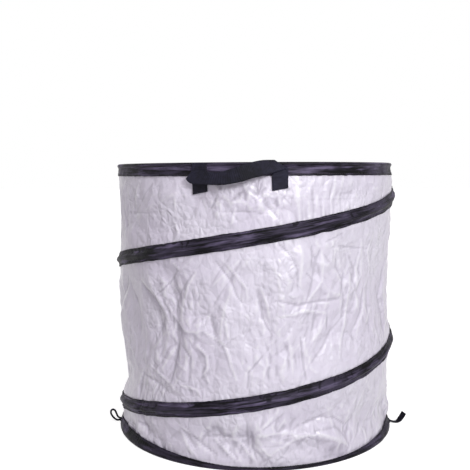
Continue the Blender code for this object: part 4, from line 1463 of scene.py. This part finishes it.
class LEAF_BAG_OT_closures(bpy.types.Operator):
    """Make the cord loop and the short strap that tie the bag flat, each on its tab"""

    bl_idname = "leaf_bag.closures"
    bl_label = "Closures"

    def execute(self, context):
        self.make_loop()
        self.make_strap()
        self.make_tab("closure_loop_tab", "loop_tab", LOOP_AZIMUTH)
        self.make_tab("closure_strap_tab", "strap_tab", STRAP_AZIMUTH)
        return {"FINISHED"}

    def make_loop(self):
        """The loop of cord, both its ends sewn into the tab."""
        line = smooth_line([(LOOP_ROOT + out, up) for out, up in LOOP_LINE], 120)
        line[:, 1] = np.maximum(line[:, 1], LOOP_CORD / 2 + 0.0003)
        points = ring_points(line[:, 0], np.full(len(line), math.radians(LOOP_AZIMUTH)), line[:, 1])
        loop, length = tube("closing_loop", points, LOOP_CORD / 2, 16, 150)
        finish_with(loop, cord_look())
        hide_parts("closure_loop")
        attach(loop, "closure_loop")

    def make_strap(self):
        """The short strap, twisting as it stands up from the floor."""
        stations = smooth_line(STRAP_LINE, 60)
        azimuth = math.radians(STRAP_AZIMUTH)
        outward = ring_points(1.0, azimuth, 0)
        sideways = ring_points(1.0, azimuth + math.pi / 2, 0)
        run = np.gradient(stations[:, :2], axis=0)
        run /= np.linalg.norm(run, axis=1, keepdims=True)
        turn = np.radians(stations[:, 2:])
        up = np.array((0.0, 0.0, 1.0))
        middle = outward * (STRAP_ROOT + stations[:, :1]) + up * stations[:, 1:2]
        square = up * run[:, :1] - outward * run[:, 1:]
        across = CLOSURE_WIDTH / 2 * (sideways * np.cos(turn) + square * np.sin(turn))
        lower, upper = middle - across, middle + across
        shift = np.maximum(0.0013 - np.minimum(lower[:, 2], upper[:, 2]), 0)
        lower[:, 2] += shift
        upper[:, 2] += shift
        cut = (CLOSURE_STRAP, CLOSURE_WIDTH)
        strap = webbing_strip("closing_strap", lower, upper, cut, CLOSURE_WEBBING, 8)
        finish_with(strap, webbing_look())
        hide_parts("closure_strap")
        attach(strap, "closure_strap")

    def make_tab(self, node, name, azimuth):
        """A tab folded over the outside of the bottom binding."""
        section = [(RING_RADIUS - 0.0026, BOTTOM_RING_HEIGHT + 0.0040)]
        section += roll_points(RING_RADIUS, BOTTOM_RING_HEIGHT, RING_ROLL + TAB_LIFT, 85, -28, 16)
        section = smooth_line(section, 40)
        half = CLOSURE_WIDTH / 2 / RING_RADIUS
        edges = []
        for turn in (-half, half):
            angles = np.full(len(section), math.radians(azimuth) + turn)
            edges.append(ring_points(section[:, 0], angles, np.maximum(section[:, 1], 0.0010)))
        tab = webbing_strip(name, *edges, (CLOSURE_TAB, CLOSURE_WIDTH), CLOSURE_WEBBING, 8)
        finish_with(tab, webbing_look())
        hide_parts(node)
        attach(tab, "base")


def stitch_row(name, places, outward):
    """A row of short stitches, each a capsule laid between neighbouring places."""
    deselect()
    bpy.ops.mesh.primitive_uv_sphere_add(segments=6, ring_count=4, radius=1, location=(0, 0, 0))
    model = bpy.context.object
    shape = np.empty(len(model.data.vertices) * 3)
    model.data.vertices.foreach_get("co", shape)
    shape = shape.reshape(-1, 3) * (THREAD, THREAD, STITCH / 2)
    faces = [tuple(face.vertices) for face in model.data.polygons]
    spare = model.data
    bpy.data.objects.remove(model)
    bpy.data.meshes.remove(spare)
    along = np.gradient(places, axis=0)
    along /= np.linalg.norm(along, axis=1, keepdims=True)
    across = np.cross(outward, along)
    across /= np.linalg.norm(across, axis=1, keepdims=True)
    outward = np.cross(along, across)
    points = (
        places[:, None] + shape[None, :, 0:1] * across[:, None] + shape[None, :, 1:2] * outward[:, None]
        + shape[None, :, 2:3] * along[:, None]
    )
    count = len(shape)
    firsts = range(0, len(places) * count, count)
    every = [tuple(first + index for index in face) for first in firsts for face in faces]
    data = bpy.data.meshes.new(name)
    data.from_pydata(points.reshape(-1, 3).tolist(), [], every)
    data.shade_smooth()
    piece = bpy.data.objects.new(name, data)
    bpy.context.scene.collection.objects.link(piece)
    select_only(piece)
    bpy.ops.object.mode_set(mode="EDIT")
    bpy.ops.mesh.select_all(action="SELECT")
    bpy.ops.mesh.normals_make_consistent(inside=False)
    bpy.ops.object.mode_set(mode="OBJECT")
    finish_with(piece, thread_look())
    return piece


class LEAF_BAG_OT_stitching(bpy.types.Operator):
    """Sew the tapes down with rows of single stitches"""

    bl_idname = "leaf_bag.stitching"
    bl_label = "Stitching"

    def execute(self, context):
        pitch = context.scene.leaf_bag_sizes.stitch_pitch
        count = int(GIRTH / pitch)
        azimuth = np.arange(count) * 2 * math.pi / count
        height = np.full(count, RIM_LOW + 0.0028)
        for face, out in (("outside", 0.0018), ("inside", -0.0018)):
            places = ring_points(wall_at(azimuth, height) + out, azimuth, height)
            away = ring_points(1.0, azimuth, 0) * np.sign(out)
            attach(stitch_row(f"rim_stitches_{face}", places, away), "rim")
        self.sew_bottom(azimuth)
        self.sew_casing(pitch)
        self.sew_seam(pitch)
        return {"FINISHED"}

    def sew_bottom(self, azimuth):
        """One row through the flange, which shows on top of it and underneath."""
        up = np.tile((0.0, 0.0, 1.0), (len(azimuth), 1))
        top = ring_points(0.2466, azimuth, 0.0052)
        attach(stitch_row("bottom_stitches_above", top, up), "base")
        under = ring_points(0.2430, azimuth, 0.00035)
        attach(stitch_row("bottom_stitches_below", under, -up), "base")

    def sew_casing(self, pitch):
        """A row along each edge of the spiral's casing."""
        length = math.radians(CASING_END - CASING_START) * WALL_RADIUS
        for name, share in (("casing_stitches_lower", 0.085), ("casing_stitches_upper", 0.915)):
            u = np.linspace(0.05, 0.95, int(0.9 * length / pitch))
            azimuth, height, _ = casing_place(u, np.full(len(u), share))
            radius = wall_at(azimuth, height) + TAPE + 0.0009
            places = ring_points(radius, azimuth, height)
            squash_wall(stitch_row(name, places, ring_points(1.0, azimuth, 0)))

    def sew_seam(self, pitch):
        """Two rows down the side seam, which show inside and outside."""
        height = np.arange(0.010, RIM_LOW - 0.004, pitch)
        height = height[bare_cloth(np.full(len(height), math.radians(SEAM_AZIMUTH)), height)[2] <= 0]
        for hand, turn in (("left", -1), ("right", 1)):
            azimuth = np.full(len(height), math.radians(SEAM_AZIMUTH) + turn * 0.0095 / WALL_RADIUS)
            for face, out in (("inside", -0.0018), ("outside", 0.0002)):
                places = ring_points(wall_at(azimuth, height) + out, azimuth, height)
                away = ring_points(1.0, azimuth, 0) * np.sign(out)
                squash_wall(stitch_row(f"seam_stitches_{hand}_{face}", places, away))


class LEAF_BAG_OT_hardware(bpy.types.Operator):
    """Give the rings of wire and their ferrules their steel"""

    bl_idname = "leaf_bag.hardware"
    bl_label = "Rings and ferrules"

    def execute(self, context):
        for node in ("bottom_wire_ring", "top_wire_ring", "bottom_ring_ferrule", "top_ring_ferrule"):
            piece = bpy.data.objects[node]
            for slot in piece.material_slots:
                slot.material = steel_look()
        return {"FINISHED"}


class LEAF_BAG_OT_declare_cloth(bpy.types.Operator):
    """Say what the wall is: a sheet cut flat and sewn into its tapes"""

    bl_idname = "leaf_bag.declare_cloth"
    bl_label = "Declare the wall"

    # Does nothing.
    def execute(self, context):
        return {"FINISHED"}


class LEAF_BAG_OT_stage(bpy.types.Operator):
    """Set the camera, the lamps and the pale floor"""

    bl_idname = "leaf_bag.stage"
    bl_label = "Stage"

    def execute(self, context):
        stage = context.scene.leaf_bag_stage
        context.scene.view_settings.view_transform = "Standard"
        self.set_camera(context, stage)
        self.hang_lamp("key_lamp", *KEY_LAMP, stage.key_power)
        self.hang_lamp("fill_lamp", *FILL_LAMP, stage.fill_power)
        self.hang_lamp("top_lamp", *TOP_LAMP, stage.top_power)
        self.light_room(context, stage)
        self.lay_floor(stage)
        return {"FINISHED"}

    def set_camera(self, context, stage):
        """The camera at the photograph's angle."""
        ahead, right, up = camera_axes(stage.camera_yaw, stage.camera_pitch, stage.camera_roll)
        basis = Matrix((right, up, -ahead)).transposed()
        data = bpy.data.cameras.new("camera")
        data.sensor_width = SENSOR
        data.lens = stage.lens
        data.clip_start = 0.02
        camera = bpy.data.objects.new("camera", data)
        context.scene.collection.objects.link(camera)
        place = Vector((0, -stage.camera_distance, stage.camera_height))
        turned = Matrix.Rotation(stage.camera_turn, 4, "Z")
        camera.matrix_world = turned @ (Matrix.Translation(place) @ basis.to_4x4())
        context.scene.camera = camera

    def hang_lamp(self, name, place, size, colour, power):
        """A square lamp that looks at the middle of the bag."""
        data = bpy.data.lights.new(name, "AREA")
        data.energy = power
        data.color = colour
        data.size = size
        lamp = bpy.data.objects.new(name, data)
        lamp.location = place
        aim = Vector((0, 0, LAMP_AIM)) - Vector(place)
        lamp.rotation_euler = aim.to_track_quat("-Z", "Y").to_euler()
        bpy.context.scene.collection.objects.link(lamp)

    def light_room(self, context, stage):
        """Even light from all round, and white where the camera or a reflection sees past the floor."""
        world = context.scene.world or bpy.data.worlds.new("room")
        context.scene.world = world
        world.use_nodes = True
        tree = world.node_tree
        tree.nodes.clear()
        path = tree.nodes.new("ShaderNodeLightPath")
        seen = path.outputs["Is Camera Ray"]
        for kind in ("Is Glossy Ray", "Is Transmission Ray"):
            either = tree.nodes.new("ShaderNodeMath")
            either.operation = "MAXIMUM"
            tree.links.new(seen, either.inputs[0])
            tree.links.new(path.outputs[kind], either.inputs[1])
            seen = either.outputs[0]
        mixed = tree.nodes.new("ShaderNodeMixShader")
        tree.links.new(seen, mixed.inputs[0])
        for socket, colour, strength in ((1, ROOM_COLOUR, stage.sky), (2, WHITE, 1.0)):
            background = tree.nodes.new("ShaderNodeBackground")
            background.inputs["Color"].default_value = colour
            background.inputs["Strength"].default_value = strength
            tree.links.new(background.outputs[0], mixed.inputs[socket])
        out = tree.nodes.new("ShaderNodeOutputWorld")
        tree.links.new(mixed.outputs[0], out.inputs["Surface"])

    def lay_floor(self, stage):
        """A wide pale floor that keeps the bag's shadow."""
        deselect()
        bpy.ops.mesh.primitive_plane_add(size=40, location=(0, 0, -0.0002))
        floor = bpy.context.object
        floor.name = "studio_floor"
        recipe = Recipe("studio_floor_look")
        path = recipe.node("ShaderNodeLightPath")
        seen = path.outputs["Is Camera Ray"]
        for kind in ("Is Glossy Ray", "Is Transmission Ray"):
            seen = recipe.maths("MAXIMUM", seen, path.outputs[kind])
        middle = recipe.node("ShaderNodeVectorMath", {0: recipe.place()}, operation="LENGTH")
        away = middle.outputs["Value"]
        lift = recipe.maths("MULTIPLY", seen, recipe.spread(away, 0.4, 1.8, 0.80, 1.0))
        floor.data.materials.append(recipe.finish(
            Base_Color=opaque(stage.floor), Roughness=0.9, Specular_IOR_Level=0.1,
            Emission_Color=WHITE, Emission_Strength=lift,
        ))


class LEAF_BAG_PT_panel(bpy.types.Panel):
    """Lists the bag's sizes, colours and pieces"""

    bl_idname = "LEAF_BAG_PT_panel"
    bl_label = "Leaf bag"
    bl_space_type = "VIEW_3D"
    bl_region_type = "UI"
    bl_category = "Leaf bag"

    def draw(self, context):
        for heading, group in (("Sizes", context.scene.leaf_bag_sizes),
                               ("Colours", context.scene.leaf_bag_colours),
                               ("Stage", context.scene.leaf_bag_stage)):
            box = self.layout.box()
            box.label(text=heading)
            for key in group.bl_rna.properties.keys():
                if key not in ("rna_type", "name"):
                    box.prop(group, key)
        for operator in OPERATORS:
            self.layout.operator(operator.bl_idname)


GROUPS = (LeafBagSizes, LeafBagColours, LeafBagStage)
OPERATORS = (
    LEAF_BAG_OT_stage, LEAF_BAG_OT_wall, LEAF_BAG_OT_base, LEAF_BAG_OT_rim_binding,
    LEAF_BAG_OT_bottom_binding, LEAF_BAG_OT_casing, LEAF_BAG_OT_spiral_wire, LEAF_BAG_OT_seam_tape,
    LEAF_BAG_OT_handles, LEAF_BAG_OT_closures, LEAF_BAG_OT_stitching, LEAF_BAG_OT_hardware,
    LEAF_BAG_OT_declare_cloth,
)


def register():
    """Add the property groups, the operators and the panel."""
    for kind in (*GROUPS, *OPERATORS, LEAF_BAG_PT_panel):
        bpy.utils.register_class(kind)
    bpy.types.Scene.leaf_bag_sizes = bpy.props.PointerProperty(type=LeafBagSizes)
    bpy.types.Scene.leaf_bag_colours = bpy.props.PointerProperty(type=LeafBagColours)
    bpy.types.Scene.leaf_bag_stage = bpy.props.PointerProperty(type=LeafBagStage)


def unregister():
    """Take them away again."""
    del bpy.types.Scene.leaf_bag_stage
    del bpy.types.Scene.leaf_bag_colours
    del bpy.types.Scene.leaf_bag_sizes
    for kind in reversed((*GROUPS, *OPERATORS, LEAF_BAG_PT_panel)):
        bpy.utils.unregister_class(kind)


def main():
    """Build every piece."""
    register()
    bpy.ops.leaf_bag.stage()
    bpy.ops.leaf_bag.wall()
    bpy.ops.leaf_bag.base()
    bpy.ops.leaf_bag.rim_binding()
    bpy.ops.leaf_bag.bottom_binding()
    bpy.ops.leaf_bag.casing()
    bpy.ops.leaf_bag.spiral_wire()
    bpy.ops.leaf_bag.seam_tape()
    bpy.ops.leaf_bag.handles()
    bpy.ops.leaf_bag.closures()
    bpy.ops.leaf_bag.stitching()
    bpy.ops.leaf_bag.hardware()
    bpy.ops.leaf_bag.declare_cloth()


if __name__ == "__main__":
    main()
